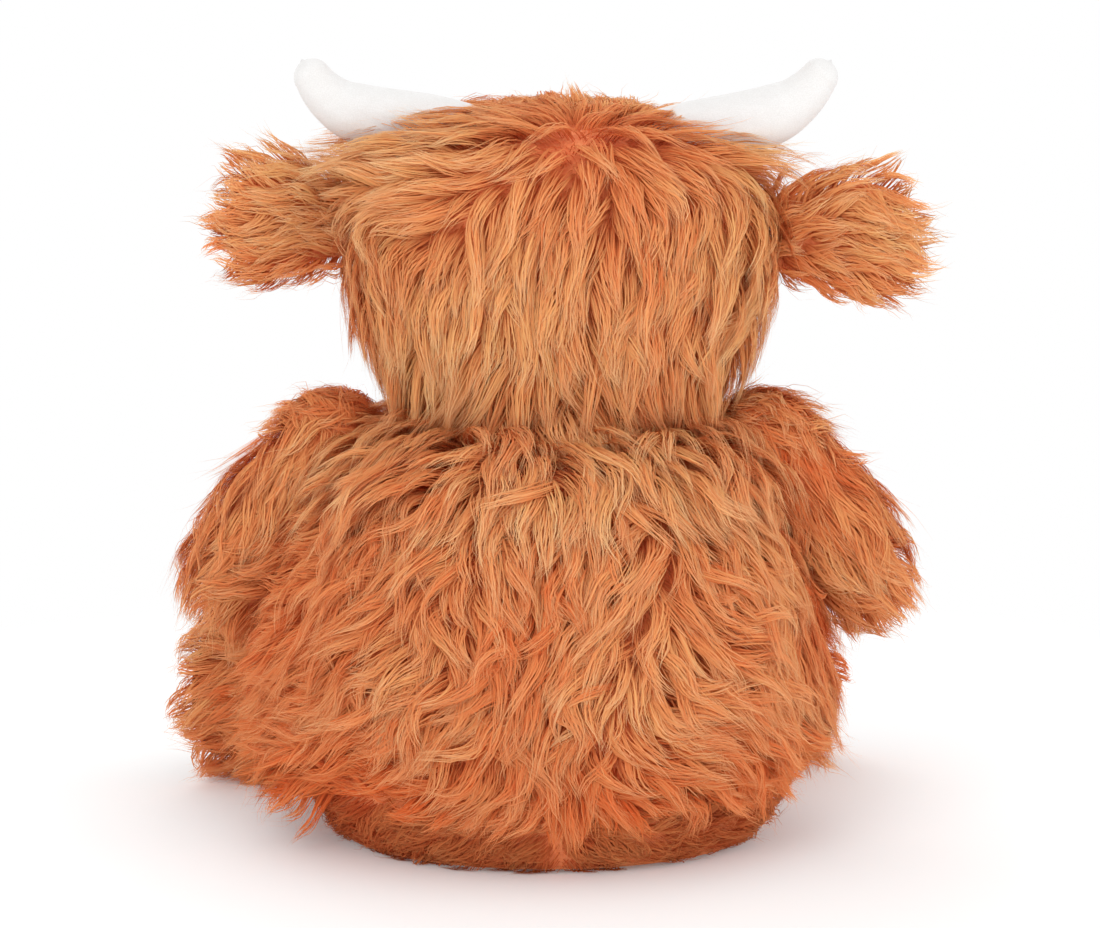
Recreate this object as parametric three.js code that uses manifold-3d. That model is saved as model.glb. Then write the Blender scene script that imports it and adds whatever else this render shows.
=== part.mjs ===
// A stuffed toy cow that sits, with a shaggy long-haired coat, smooth horns and a short-haired muzzle.
// Millimetres, +Z up. The cow faces -Y, its left side is +X, and it sits on the plane z = 0 with the
// middle of its seat at the origin. A coat piece is the cloth with its pile pressed together, so its
// outside is the middle of the hair's depth.
import * as THREE from "three";
import { mergeVertices } from "three/addons/utils/BufferGeometryUtils.js";
import Module from "manifold-3d";

const wasm = await Module();
wasm.setup();

// Clearance between pieces that touch, and the thickness of each cloth.
const GAP = 0.3;
const COAT = 10; // long-haired cloth of the body and head
const LIMB_COAT = 8; // the same cloth, drawn tighter round a limb
const HORN_CLOTH = 1.6;
const MUZZLE_CLOTH = 2.6;

// Locks of the long hair, in rows like shingles. How many go round is given for the body and the head.
const LOCK_PITCH = 27; // from row to row
const LOCK_DEPTH = 5; // how far a lock's root lies under its point
const LOCK_EDGE_SHARE = 0.7; // how deep a lock's edges are at its point's height, as a share of that
const LOCK_POINT = 7; // how far a point hangs below the lock's edges
const LOCK_TUCK = 5; // how far the roots reach up short of the next row's points
const BODY_LOCKS = 22;
const HEAD_LOCKS = 18;
const LIMB_LOCKS = 8;
const LOCKS_BEHIND = 14; // they begin this far behind the middle of the head; the face is smooth
const CROWN_RADIUS = 40; // they grow out of the crown over this far

// Body: a pear, given by its widths at a few heights, and flattened from front to back.
const SEAT_WIDTH = 168; // the flat that it sits on
const SEAM_HEIGHT = 24; // where the base panel is sewn to the body
const SEAM_WIDTH = 211;
const HIP_HEIGHT = 72;
const HIP_WIDTH = 236;
const CHEST_HEIGHT = 125;
const CHEST_WIDTH = 210;
const SHOULDER_HEIGHT = 160;
const SHOULDER_WIDTH = 152;
const BODY_TOP = 172;
const BODY_TOP_WIDTH = 80; // the flat under the head
const BODY_DEPTH = 202;

// Neck: a ball on top of the body, in a hollow under the head.
const NECK_HEIGHT = 150; // of the ball's centre
const NECK_RADIUS = 50;
const NECK_SET_OVER = 3; // to the cow's right

// Pellet bag in the seat.
const BAG_WIDTH = 118;
const BAG_DEPTH = 100;
const BAG_HEIGHT = 30;
const BAG_PRESSED = 6; // how much more it would be high if the seat didn't press it flat
const BAG_SET_BACK = 14;
const BAG_SQUARENESS = 2.4;

// Head, measured from the neck ball's centre.
const HEAD_WIDTH = 172;
const HEAD_DEPTH = 148;
const HEAD_HEIGHT = 118;
const HEAD_CENTRE_HEIGHT = 88;
const HEAD_SET_FORWARD = 6;
const HEAD_SQUARENESS = 3; // of its outline from behind: 2 is an ellipse
const HEAD_PLAN_SQUARENESS = 2.3; // of its outline from above
const HEAD_TILT = 1.5; // degrees that it leans to the cow's right

// Muzzle.
const MUZZLE_WIDTH = 86;
const MUZZLE_HEIGHT = 58;
const MUZZLE_LENGTH = 84;
const MUZZLE_REACH = 34; // how far it stands out of the face
const MUZZLE_CENTRE_HEIGHT = 58;
const MUZZLE_SQUARENESS = 2.5;
const NOSTRIL_SPACING = 32;
const NOSTRIL_WIDTH = 12;
const NOSTRIL_HEIGHT = 8;
const NOSTRIL_RISE = 7;
const NOSTRIL_THICKNESS = 1.6;

// Eyes: a domed head on a ribbed stem, held by a washer behind the cloth.
const EYE_SPACING = 78;
const EYE_RISE = 96;
const EYE_RADIUS = 7;
const EYE_DOME = 5;
const EYE_RIM = 1; // height of the rim under the dome
const STEM_RADIUS = 2.2;
const STEM_RIB = 0.5;
const STEM_RIBS = 2;
const STEM_RIB_SLOPE = 0.7; // the share of a rib over which it widens
const STEM_SPARE = 4; // how far the stem passes the washer
const WASHER_RADIUS = 8;
const WASHER_THICKNESS = 1.8;
const WASHER_BEVEL = 0.6; // the share of its radius that is flat, and of its thickness that the rim has
const PINCHED_COAT = 7; // the coat's thickness under the washer

// Forelock: a tuft sewn in at the poll, which falls over the forehead.
const FORELOCK_WIDTH = 72;
const FORELOCK_POLL_THICKNESS = 2;
const FORELOCK_FRONT_THICKNESS = 10;
const FORELOCK_SET_BACK = 6;
const FORELOCK_FALL = 58; // from the top of the head down to its longest lock
const FORELOCK_LOCKS = 5;
const FORELOCK_LOCK_LENGTH = 16;
const FORELOCK_SIDE_FALL = 0.55; // how far it falls at its sides, as a share of the middle

// Horns: they come out of the head nearly level, sag a little and curve up to a blunt tip.
const HORN_ROOT_OUT = 36;
const HORN_ROOT_RISE = 130;
const HORN_SHOULDER_OUT = 62; // the point that the root heads for
const HORN_SHOULDER_RISE = 140;
const HORN_REACH = 103.6; // from the middle of the head to the end of the tip
const HORN_TIP_RISE = 160.8;
const HORN_EVENING = 2.6; // the left tip is lower by this and the right one higher, as the head leans
const HORN_LEAN = 33; // degrees that the tip leans outwards
const HORN_UPTURN = 34; // how far down from the tip that bends the horn
const HORN_ROOT_RADIUS = 12;
const HORN_BELLY_RADIUS = 12.2;
const HORN_BELLY_AT = 0.6; // the share of its length at which it is thickest
const HORN_TIP_RADIUS = 7.5;
const HORN_SET_BACK = 3;

// Ears: paddles on an upright hinge line at the side of the head.
const EAR_RISE = 95;
const LEFT_EAR_LENGTH = 50; // it is drawn up shorter than the other
const RIGHT_EAR_LENGTH = 56;
const EAR_WIDTH = 50;
const EAR_THICKNESS = 17;
const EAR_ROOT_RADIUS = 6;
const EAR_ROOT_WIDTH = 38;
const EAR_BLADE = [
  [0.78, 0.22],
  [1, 0.55],
  [0.8, 0.84],
  [0.4, 0.97],
]; // its outline past the root, as shares of half its width and of its length
const EAR_SINK = 1; // how far the hinge line lies inside the head
const EAR_SWEEP = 12; // degrees that the ear points back
const LINING_THICKNESS = 3;
const LINING_MARGIN = 6; // of coat round the lining
const LINING_MIDDLE = 0.54; // where its middle is, as a share of the ear's length
const LINING_REACH = 36; // its length along the ear
const LINING_SQUARENESS = 2.3;

// Arms: a ball in a hollow at the shoulder, then a swelling stub that lies against the flank.
const ARM_JOINT_OUT = 85;
const ARM_OVER_NECK = 6; // how far the joint is above the neck ball's centre
const ARM_JOINT_HEIGHT = NECK_HEIGHT + ARM_OVER_NECK;
const ARM_JOINT_FORWARD = 8;
const ARM_BALL = 28;
const ARM_LENGTH = 91; // from the ball's centre to the tip
const ARM_NECK_RADIUS = 27;
const ARM_RADIUS = 30;
const ARM_SWELL = 36; // from the ball's centre to where the arm is thickest
const HAND_RADIUS = 27;
const ARM_DROP = 52; // degrees below level
const ARM_FORWARD = 22; // degrees in front of straight out
const ARM_OPENING = 10; // radius of the opening that it is stuffed through
const FLANK_HEIGHT = 120; // where the stub touches the body
const FLANK_REACH = 27; // how far along the stub that is

// Legs: a ball in a hollow at the hip, a drawn-in neck, a stout leg and a flat sole. They swing out
// and in over the ground.
const LEG_JOINT_OUT = 66;
const LEG_JOINT_HEIGHT = 40;
const LEG_JOINT_SINK = 4;
const LEG_BALL = 34;
const LEG_NECK_RADIUS = 28;
const LEG_RADIUS = 36.5;
const LEG_SWELL = 13; // how far past its neck the leg is nearly as thick as it gets
const LEG_SWELL_SHARE = 0.95; // and how thick it is there
const LEG_CALF = 50; // from the ball's centre to where it is as thick as it gets
const LEG_RIM = 1; // the least rounding at its end, and how much deeper the sole's opening is cut
const LEG_LENGTH = 80; // from the ball's centre to the sole
const LEFT_LEG_SPLAY = 67; // degrees outwards: the left leg is the one thrown out
const RIGHT_LEG_SPLAY = 22;
const LEG_DROOP = 3; // degrees below level
const SOLE_RADIUS = 29;
const SOLE_THICKNESS = 3;
const SOLE_DOME = 2;

// How finely the round forms are divided. What is out of sight is coarser.
const LIMB_SIDES = 2 * LIMB_LOCKS;
const INNER_SIDES = 12;
const BALL_SIDES = 18;
const SMALL_SIDES = 12;

const coatMaterial = new THREE.MeshStandardMaterial({ color: 0xb86a38, roughness: 0.95 });
const fillMaterial = new THREE.MeshStandardMaterial({ color: 0xf0eee8, roughness: 1 });
const bagMaterial = new THREE.MeshStandardMaterial({ color: 0xd9d6cc, roughness: 0.9 });
const hornMaterial = new THREE.MeshStandardMaterial({ color: 0xeae8e4, roughness: 0.85 });
const muzzleMaterial = new THREE.MeshStandardMaterial({ color: 0xe3c9a4, roughness: 0.9 });
const nostrilMaterial = new THREE.MeshStandardMaterial({ color: 0x5b3524, roughness: 0.8 });
const eyeMaterial = new THREE.MeshStandardMaterial({ color: 0x120c0a, roughness: 0.12 });
const washerMaterial = new THREE.MeshStandardMaterial({ color: 0xe9e9e6, roughness: 0.5 });

// A closed geometry as a solid that can be joined and cut.
function solidOf(geometry) {
  const bare = geometry.clone();
  bare.deleteAttribute("normal");
  bare.deleteAttribute("uv");
  const merged = mergeVertices(bare, 1e-3);
  const corners = [];
  for (let i = 0; i < merged.index.count; i += 3) {
    const [a, b, c] = [0, 1, 2].map((k) => merged.index.getX(i + k));
    if (a !== b && b !== c && c !== a) corners.push(a, b, c);
  }
  return new wasm.Manifold(
    new wasm.Mesh({
      numProp: 3,
      vertProperties: merged.attributes.position.array,
      triVerts: new Uint32Array(corners),
    }),
  );
}

// A solid as a geometry again.
function geometryOf(solid) {
  const mesh = solid.getMesh();
  const geometry = new THREE.BufferGeometry();
  geometry.setAttribute("position", new THREE.BufferAttribute(mesh.vertProperties, 3));
  geometry.setIndex(new THREE.BufferAttribute(mesh.triVerts, 1));
  geometry.computeVertexNormals();
  return geometry;
}

function addPiece(group, name, solid, material) {
  const mesh = new THREE.Mesh(geometryOf(solid), material);
  mesh.name = name;
  group.add(mesh);
}

const moved = (geometry, offset) => geometry.clone().translate(offset.x, offset.y, offset.z);

const X_AXIS = new THREE.Vector3(1, 0, 0);
const Y_AXIS = new THREE.Vector3(0, 1, 0);
const Z_AXIS = new THREE.Vector3(0, 0, 1);

// A ball, its facets in rings round the hinge that it turns on. spin turns the rings along.
function ball(radius, centre, hinge, sides = BALL_SIDES, spin = 0) {
  const turn = new THREE.Quaternion().setFromUnitVectors(Y_AXIS, hinge);
  const sphere = new THREE.SphereGeometry(radius, sides, Math.ceil(sides / 2)).rotateY(spin);
  return solidOf(moved(sphere.applyQuaternion(turn), centre));
}

// A hollow that a ball turns in: larger by the gap, and by what a ring's flat facets take off. The
// middles of its facets face the ball's corners.
const halfFacet = Math.PI / BALL_SIDES;
const hollowFor = (radius, centre, hinge) =>
  ball((radius + GAP) / Math.cos(halfFacet), centre, hinge, BALL_SIDES, halfFacet);

// The right half of an oval outline, from its lowest point to its highest: 2 is an ellipse, more is squarer.
function ovalPoints(halfWidth, halfHeight, squareness, count) {
  const points = [];
  for (let i = 0; i <= count; i++) {
    const angle = Math.PI * (i / count - 0.5);
    const out = Math.abs(Math.cos(angle)) ** (2 / squareness);
    const up = Math.sign(Math.sin(angle)) * Math.abs(Math.sin(angle)) ** (2 / squareness);
    points.push(new THREE.Vector2(i % count ? halfWidth * out : 0, halfHeight * up));
  }
  return points;
}

// A profile moved inwards by inset, or outwards where that is negative. Its ends stay on the axis.
function insetProfile(points, inset) {
  const last = points.length - 1;
  return points.map((point, i) => {
    const along = points[Math.min(i + 1, last)].clone().sub(points[Math.max(i - 1, 0)]).normalize();
    const x = point.x - inset * along.y;
    return new THREE.Vector2(i % last ? Math.max(x, 0) : 0, point.y + inset * along.x);
  });
}

// A quarter round in a profile, from beside its centre to above it. Its first point is left out.
function quarterRound(centre, out, up, steps) {
  const points = [];
  for (let i = 1; i <= steps; i++) {
    const angle = (Math.PI / 2) * (i / steps);
    const beside = i < steps ? out * Math.cos(angle) : 0;
    points.push(new THREE.Vector2(centre.x + beside, centre.y + up * Math.sin(angle)));
  }
  return points;
}

// A profile of radius and height turned about the upright axis.
const turned = (points, sides) => new THREE.LatheGeometry(points, sides).rotateX(Math.PI / 2);

// The radius of a profile at a height.
function radiusAt(points, height) {
  const i = points.findIndex((point) => point.y > height);
  const [low, high] = [points[i - 1], points[i]];
  return THREE.MathUtils.mapLinear(height, low.y, high.y, low.x, high.x);
}

// Turns an upright geometry so that its axis points along direction.
function aimed(geometry, direction) {
  const turn = new THREE.Quaternion().setFromUnitVectors(Z_AXIS, direction);
  return geometry.clone().applyQuaternion(turn);
}

const radians = THREE.MathUtils.degToRad;

// How far along a profile each of its points is.
function distancesAlong(points) {
  const distances = [0];
  for (let i = 1; i < points.length; i++) {
    distances.push(distances[i - 1] + points[i].distanceTo(points[i - 1]));
  }
  return distances;
}

// A turned form laid with locks of hair between two distances along its profile. They overlap like
// shingles: a lock is full at its point, thinner at its edges and tucked in at its root, and each point
// hangs over the gap between two locks of the next row. way is -1 where the points hang towards the start
// of the profile, and 1 where they hang towards its end. coverAt gives how far the locks have grown out at
// a place, as a share.
function laidWithLocks(points, { from, to, locks, way, coverAt = () => 1 }) {
  const distances = distancesAlong(points);
  const tucked = insetProfile(points, LOCK_DEPTH);
  const pointAt = (distance, depth) => {
    const next = Math.max(distances.findIndex((each) => each >= distance), 1);
    const share = (distance - distances[next - 1]) / (distances[next] - distances[next - 1]);
    const outer = points[next - 1].clone().lerp(points[next], share);
    return outer.lerp(tucked[next - 1].clone().lerp(tucked[next], share), depth);
  };
  const rows = Math.round((to - from) / LOCK_PITCH);
  const pitch = (to - from) / rows;
  const laid = [];
  for (let row = 0; row < rows; row++) {
    const start = from + row * pitch;
    const end = start + pitch;
    const [tipAt, rootAt] = way < 0 ? [start, end - LOCK_TUCK] : [end, start + LOCK_TUCK];
    const tip = { distance: tipAt, depths: [0, LOCK_EDGE_SHARE], hang: (way * LOCK_POINT) / 2, row };
    const root = { distance: rootAt, depths: [1, 1], hang: 0, row };
    laid.push(...(way < 0 ? [tip, root] : [root, tip]));
  }
  const plain = (distance) => ({ distance, depths: [0, 0], hang: 0, row: 0 });
  const before = distances.filter((each) => each < from - LOCK_POINT);
  const after = distances.filter((each, i) => each > to + LOCK_POINT || i === distances.length - 1);
  const rings = [...before.map(plain), ...laid, ...after.map(plain)];
  const form = turned(rings.map(({ distance }) => pointAt(distance, 0)), 2 * locks);
  const place = form.attributes.position;
  for (let i = 0; i < place.count; i++) {
    const { distance, depths, hang, row } = rings[i % rings.length];
    const edge = (Math.floor(i / rings.length) + row) % 2;
    const [x, y] = [place.getX(i), place.getY(i)];
    const radius = Math.hypot(x, y);
    if (radius < LOCK_DEPTH) continue;
    const cover = coverAt(x, y, place.getZ(i));
    const lock = pointAt(distance + cover * (edge ? -hang : hang), cover * depths[edge]);
    place.setXYZ(i, (x * lock.x) / radius, (y * lock.x) / radius, lock.y);
  }
  return form;
}

// Body.
const bodyOutline = [
  new THREE.Vector2(0, 0),
  ...new THREE.SplineCurve([
    new THREE.Vector2(SEAT_WIDTH / 2, 0),
    new THREE.Vector2(SEAM_WIDTH / 2, SEAM_HEIGHT),
    new THREE.Vector2(HIP_WIDTH / 2, HIP_HEIGHT),
    new THREE.Vector2(CHEST_WIDTH / 2, CHEST_HEIGHT),
    new THREE.Vector2(SHOULDER_WIDTH / 2, SHOULDER_HEIGHT),
    new THREE.Vector2(BODY_TOP_WIDTH / 2, BODY_TOP),
  ]).getPoints(8),
  new THREE.Vector2(0, BODY_TOP),
];
const bodyFlattening = BODY_DEPTH / HIP_WIDTH;
const neckCentre = new THREE.Vector3(-NECK_SET_OVER, 0, NECK_HEIGHT);
const nodHinge = X_AXIS.clone().applyAxisAngle(Y_AXIS, -radians(HEAD_TILT));

// The body's form, with no hollows, inset by a thickness. Outside, it is laid with locks from the seam up
// to where the head rests.
function bodyForm(inset) {
  const { smoothstep } = THREE.MathUtils;
  const distances = distancesAlong(bodyOutline);
  const from = distances[bodyOutline.findIndex((point) => point.y >= SEAM_HEIGHT)] + LOCK_POINT;
  const to = distances[distances.length - 1];
  const coverAt = (x, y, z) => {
    const aboveSeam = smoothstep(z, SEAM_HEIGHT, SEAM_HEIGHT + LOCK_PITCH / 2);
    return aboveSeam - smoothstep(z, SHOULDER_HEIGHT - LOCK_TUCK, BODY_TOP);
  };
  const pear = inset > 0
    ? turned(insetProfile(bodyOutline, inset), INNER_SIDES)
    : laidWithLocks(bodyOutline, { from, to, locks: BODY_LOCKS, way: -1, coverAt });
  const neckSides = inset > 0 ? INNER_SIDES : BALL_SIDES;
  const neck = ball(NECK_RADIUS - inset, neckCentre, nodHinge, neckSides);
  return solidOf(pear.scale(1, bodyFlattening, 1)).add(neck);
}

// A block that fills everything between two heights.
function slab(low, high) {
  const size = 2 * (HIP_WIDTH + ARM_LENGTH);
  return solidOf(new THREE.BoxGeometry(size, size, high - low).translate(0, 0, (low + high) / 2));
}

// A limb's own axis, and the place of its ball. side is 1 for the left and -1 for the right.
function armAxis(side) {
  const level = Math.cos(radians(ARM_DROP));
  const out = level * Math.cos(radians(ARM_FORWARD));
  const forward = level * Math.sin(radians(ARM_FORWARD));
  return new THREE.Vector3(side * out, -forward, -Math.sin(radians(ARM_DROP)));
}

const armJoint = (side) => new THREE.Vector3(side * ARM_JOINT_OUT, -ARM_JOINT_FORWARD, ARM_JOINT_HEIGHT);

// The point of the flank that the arm's stub touches, and the direction that the flank faces there.
function flank(side) {
  const radius = radiusAt(bodyOutline, FLANK_HEIGHT);
  const forward = ARM_JOINT_FORWARD + FLANK_REACH * Math.sin(radians(ARM_FORWARD));
  const out = Math.sqrt(radius ** 2 - (forward / bodyFlattening) ** 2);
  const step = 5;
  const [below, above] = [-step, step].map((rise) => radiusAt(bodyOutline, FLANK_HEIGHT + rise));
  const up = (radius * (below - above)) / (2 * step);
  return {
    point: new THREE.Vector3(side * out, -forward, FLANK_HEIGHT),
    normal: new THREE.Vector3(side * out, -forward / bodyFlattening ** 2, up).normalize(),
  };
}

function legAxis(side) {
  const splay = radians(side > 0 ? LEFT_LEG_SPLAY : RIGHT_LEG_SPLAY);
  const level = Math.cos(radians(LEG_DROOP));
  const down = Math.sin(radians(LEG_DROOP));
  return new THREE.Vector3(side * level * Math.sin(splay), -level * Math.cos(splay), -down);
}

function legJoint(side) {
  const radius = radiusAt(bodyOutline, LEG_JOINT_HEIGHT);
  const front = bodyFlattening * Math.sqrt(radius ** 2 - LEG_JOINT_OUT ** 2);
  return new THREE.Vector3(side * LEG_JOINT_OUT, LEG_JOINT_SINK - front, LEG_JOINT_HEIGHT);
}

const SIDES = [
  ["left", 1],
  ["right", -1],
];

function addBody(root) {
  const joints = SIDES.flatMap(([, side]) => [
    [ARM_BALL, armJoint(side), Y_AXIS],
    [LEG_BALL, legJoint(side), Z_AXIS],
  ]);
  let shell = bodyForm(0);
  let room = bodyForm(COAT);
  let filling = bodyForm(COAT + GAP);
  for (const [radius, centre, hinge] of joints) {
    shell = shell.subtract(hollowFor(radius, centre, hinge));
    room = room.subtract(ball(radius + COAT, centre, hinge, INNER_SIDES));
    filling = filling.subtract(ball(radius + COAT + GAP, centre, hinge, INNER_SIDES));
  }
  const coat = shell.subtract(room);
  addPiece(root, "body_coat", coat.subtract(slab(-GAP, SEAM_HEIGHT + GAP / 2)), coatMaterial);
  addPiece(root, "base_panel", coat.intersect(slab(-GAP, SEAM_HEIGHT - GAP / 2)), coatMaterial);

  const bagForm = (spare) => {
    const halfHeight = (BAG_HEIGHT + BAG_PRESSED) / 2;
    const points = ovalPoints(BAG_WIDTH / 2 + spare, halfHeight + spare, BAG_SQUARENESS, 8);
    const oval = turned(points, INNER_SIDES).scale(1, BAG_DEPTH / BAG_WIDTH, 1);
    return solidOf(oval.translate(0, BAG_SET_BACK, COAT + BAG_HEIGHT - halfHeight));
  };
  addPiece(root, "pellet_bag", bagForm(0).intersect(slab(COAT + GAP, NECK_HEIGHT)), bagMaterial);
  addPiece(root, "body_stuffing", filling.subtract(bagForm(GAP)), fillMaterial);
}

// Head, in the frame of the neck ball's centre.
const headCentre = new THREE.Vector3(0, -HEAD_SET_FORWARD, HEAD_CENTRE_HEIGHT);
const origin = new THREE.Vector3();

// Presses a round plan towards a square one.
function squareOff(geometry, squareness) {
  const place = geometry.attributes.position;
  for (let i = 0; i < place.count; i++) {
    const [x, y] = [place.getX(i), place.getY(i)];
    const radius = Math.hypot(x, y) || 1;
    const bulge = (Math.abs(x) / radius) ** squareness + (Math.abs(y) / radius) ** squareness;
    const stretch = bulge ** (-1 / squareness);
    place.setXY(i, x * stretch, y * stretch);
  }
  return geometry;
}

// The head's form, inset by a thickness. Outside, its back is laid with locks, and the face is smooth.
function headForm(inset) {
  const { smoothstep } = THREE.MathUtils;
  const half = HEAD_WIDTH / 2 - inset;
  const points = ovalPoints(half, HEAD_HEIGHT / 2 - inset, HEAD_SQUARENESS, inset > 0 ? 8 : 24);
  const to = distancesAlong(points)[points.length - 1];
  const coverAt = (x, y, z) => {
    const behind = smoothstep(y, LOCKS_BEHIND, LOCKS_BEHIND + LOCK_PITCH / 2);
    return z > 0 ? behind * smoothstep(Math.hypot(x, y), 0, CROWN_RADIUS) : behind;
  };
  const oval = inset > 0
    ? turned(points, INNER_SIDES)
    : laidWithLocks(points, { from: LOCK_PITCH, to, locks: HEAD_LOCKS, way: -1, coverAt });
  const plan = squareOff(oval, HEAD_PLAN_SQUARENESS).scale(1, (HEAD_DEPTH / 2 - inset) / half, 1);
  return solidOf(moved(plan, headCentre));
}

// The head's surface: the share of its half width left at a height, and how far forward it is at x.
function headShare(height) {
  const up = Math.abs(height - HEAD_CENTRE_HEIGHT) / (HEAD_HEIGHT / 2);
  return (1 - up ** HEAD_SQUARENESS) ** (1 / HEAD_SQUARENESS);
}

function faceAt(x, height) {
  const share = headShare(height);
  const across = Math.abs(x) / ((HEAD_WIDTH / 2) * share);
  const along = (1 - across ** HEAD_PLAN_SQUARENESS) ** (1 / HEAD_PLAN_SQUARENESS);
  return new THREE.Vector3(x, -HEAD_SET_FORWARD - (HEAD_DEPTH / 2) * share * along, height);
}

function faceNormal(x, height) {
  const step = 1;
  const across = faceAt(x + step, height).sub(faceAt(x - step, height));
  const up = faceAt(x, height + step).sub(faceAt(x, height - step));
  return across.cross(up).normalize();
}

function muzzleForm(inset) {
  const half = MUZZLE_WIDTH / 2 - inset;
  const points = ovalPoints(half, MUZZLE_LENGTH / 2 - inset, MUZZLE_SQUARENESS, 10);
  const oval = new THREE.LatheGeometry(points, inset > 0 ? INNER_SIDES : LIMB_SIDES);
  const front = faceAt(0, HEAD_CENTRE_HEIGHT).y - MUZZLE_REACH;
  oval.scale(1, 1, (MUZZLE_HEIGHT / 2 - inset) / half);
  return solidOf(oval.translate(0, front + MUZZLE_LENGTH / 2, MUZZLE_CENTRE_HEIGHT));
}

// An eye, its stem along -Z, with its back on the plane z = 0.
function eyeGeometry() {
  const points = [];
  const stem = PINCHED_COAT + 2 * GAP + WASHER_THICKNESS + STEM_SPARE;
  points.push(new THREE.Vector2(0, -stem));
  const ribs = STEM_SPARE + WASHER_THICKNESS;
  for (let i = 0; i < STEM_RIBS; i++) {
    const low = -stem + (ribs * i) / STEM_RIBS;
    points.push(new THREE.Vector2(STEM_RADIUS - STEM_RIB, low));
    points.push(new THREE.Vector2(STEM_RADIUS, low + (STEM_RIB_SLOPE * ribs) / STEM_RIBS));
  }
  points.push(new THREE.Vector2(STEM_RADIUS, 0));
  points.push(new THREE.Vector2(EYE_RADIUS - STEM_RIB, 0));
  points.push(new THREE.Vector2(EYE_RADIUS, EYE_RIM));
  points.push(...quarterRound(new THREE.Vector2(0, EYE_RIM), EYE_RADIUS, EYE_DOME, 5));
  return turned(points, SMALL_SIDES);
}

function washerGeometry() {
  const hole = STEM_RADIUS + GAP;
  const points = [
    new THREE.Vector2(hole, 0),
    new THREE.Vector2(WASHER_RADIUS, 0),
    new THREE.Vector2(WASHER_RADIUS, WASHER_THICKNESS * WASHER_BEVEL),
    new THREE.Vector2(WASHER_RADIUS * WASHER_BEVEL, WASHER_THICKNESS),
    new THREE.Vector2(hole, WASHER_THICKNESS),
    new THREE.Vector2(hole, 0),
  ];
  return turned(points, SMALL_SIDES);
}

const cylinder = (radius, low, high, sides = SMALL_SIDES) =>
  new THREE.CylinderGeometry(radius, radius, high - low, sides)
    .rotateX(Math.PI / 2)
    .translate(0, 0, (low + high) / 2);

// Where each eye sits: a matrix that takes the eye's own frame to the head's.
function eyePlace(side) {
  const [x, height] = [(side * EYE_SPACING) / 2, EYE_RISE];
  const normal = faceNormal(x, height);
  const turn = new THREE.Quaternion().setFromUnitVectors(Z_AXIS, normal);
  const seat = faceAt(x, height).addScaledVector(normal, GAP);
  return new THREE.Matrix4().compose(seat, turn, new THREE.Vector3(1, 1, 1));
}

// The forelock's outline from the front, as wide as the tuft, with one point to each lock.
function forelockOutline() {
  const top = HEAD_CENTRE_HEIGHT + HEAD_HEIGHT / 2;
  const half = FORELOCK_WIDTH / 2;
  const shape = new THREE.Shape();
  const pointAt = (x) => {
    const share = THREE.MathUtils.lerp(1, FORELOCK_SIDE_FALL, (x / half) ** 2);
    return top - FORELOCK_FALL * share;
  };
  shape.moveTo(-half, top + 2 * FORELOCK_FRONT_THICKNESS);
  for (let i = 0; i < FORELOCK_LOCKS; i++) {
    const left = -half + (FORELOCK_WIDTH * i) / FORELOCK_LOCKS;
    const middle = left + FORELOCK_WIDTH / (2 * FORELOCK_LOCKS);
    shape.lineTo(left, pointAt(middle) + FORELOCK_LOCK_LENGTH);
    shape.lineTo(middle, pointAt(middle));
  }
  shape.lineTo(half, pointAt(half) + FORELOCK_LOCK_LENGTH);
  shape.lineTo(half, top + 2 * FORELOCK_FRONT_THICKNESS);
  return shape;
}

// A layer on the head, from thin at the poll to thick on the forehead, cut to the outline.
function forelockForm() {
  const prism = new THREE.ExtrudeGeometry(forelockOutline(), { depth: HEAD_DEPTH, bevelEnabled: false });
  prism.rotateX(Math.PI / 2).translate(0, FORELOCK_SET_BACK, 0);
  const middle = (FORELOCK_POLL_THICKNESS + FORELOCK_FRONT_THICKNESS) / 2;
  const shift = (FORELOCK_FRONT_THICKNESS - FORELOCK_POLL_THICKNESS) / 2;
  const outside = headForm(-GAP - middle).translate(0, -shift, -shift);
  return outside.subtract(headForm(-GAP)).intersect(solidOf(prism));
}

// Bends an upright geometry of a given length along a curve that lies in the plane of x and z.
function alongCurve(geometry, curve, length) {
  const place = geometry.attributes.position;
  for (let i = 0; i < place.count; i++) {
    const share = THREE.MathUtils.clamp(place.getZ(i) / length, 0, 1);
    const along = curve.getTangentAt(share);
    const across = new THREE.Vector3().crossVectors(Y_AXIS, along);
    const point = curve.getPointAt(share).addScaledVector(across, place.getX(i));
    place.setXYZ(i, point.x, point.y + place.getY(i), point.z);
  }
  return geometry;
}

function hornForm(side, inset) {
  const at = (out, rise) => new THREE.Vector3(side * out, HORN_SET_BACK, rise);
  const tipRise = HORN_TIP_RISE - side * HORN_EVENING;
  const inwards = HORN_UPTURN * Math.sin(radians(HORN_LEAN));
  const downwards = HORN_UPTURN * Math.cos(radians(HORN_LEAN));
  const curve = new THREE.CubicBezierCurve3(
    at(HORN_ROOT_OUT, HORN_ROOT_RISE),
    at(HORN_SHOULDER_OUT, HORN_SHOULDER_RISE),
    at(HORN_REACH - inwards, tipRise - downwards),
    at(HORN_REACH, tipRise),
  );
  const length = curve.getLength();
  const tipAt = length - HORN_TIP_RADIUS;
  const taper = new THREE.SplineCurve([
    new THREE.Vector2(HORN_ROOT_RADIUS, 0),
    new THREE.Vector2(HORN_BELLY_RADIUS, length * HORN_BELLY_AT),
    new THREE.Vector2(HORN_TIP_RADIUS, tipAt),
  ]);
  const tip = quarterRound(new THREE.Vector2(0, tipAt), HORN_TIP_RADIUS, HORN_TIP_RADIUS, 4);
  const points = [new THREE.Vector2(0, 0), ...taper.getPoints(7), ...tip];
  const horn = turned(insetProfile(points, inset), SMALL_SIDES);
  return solidOf(alongCurve(horn, curve, length));
}

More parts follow.
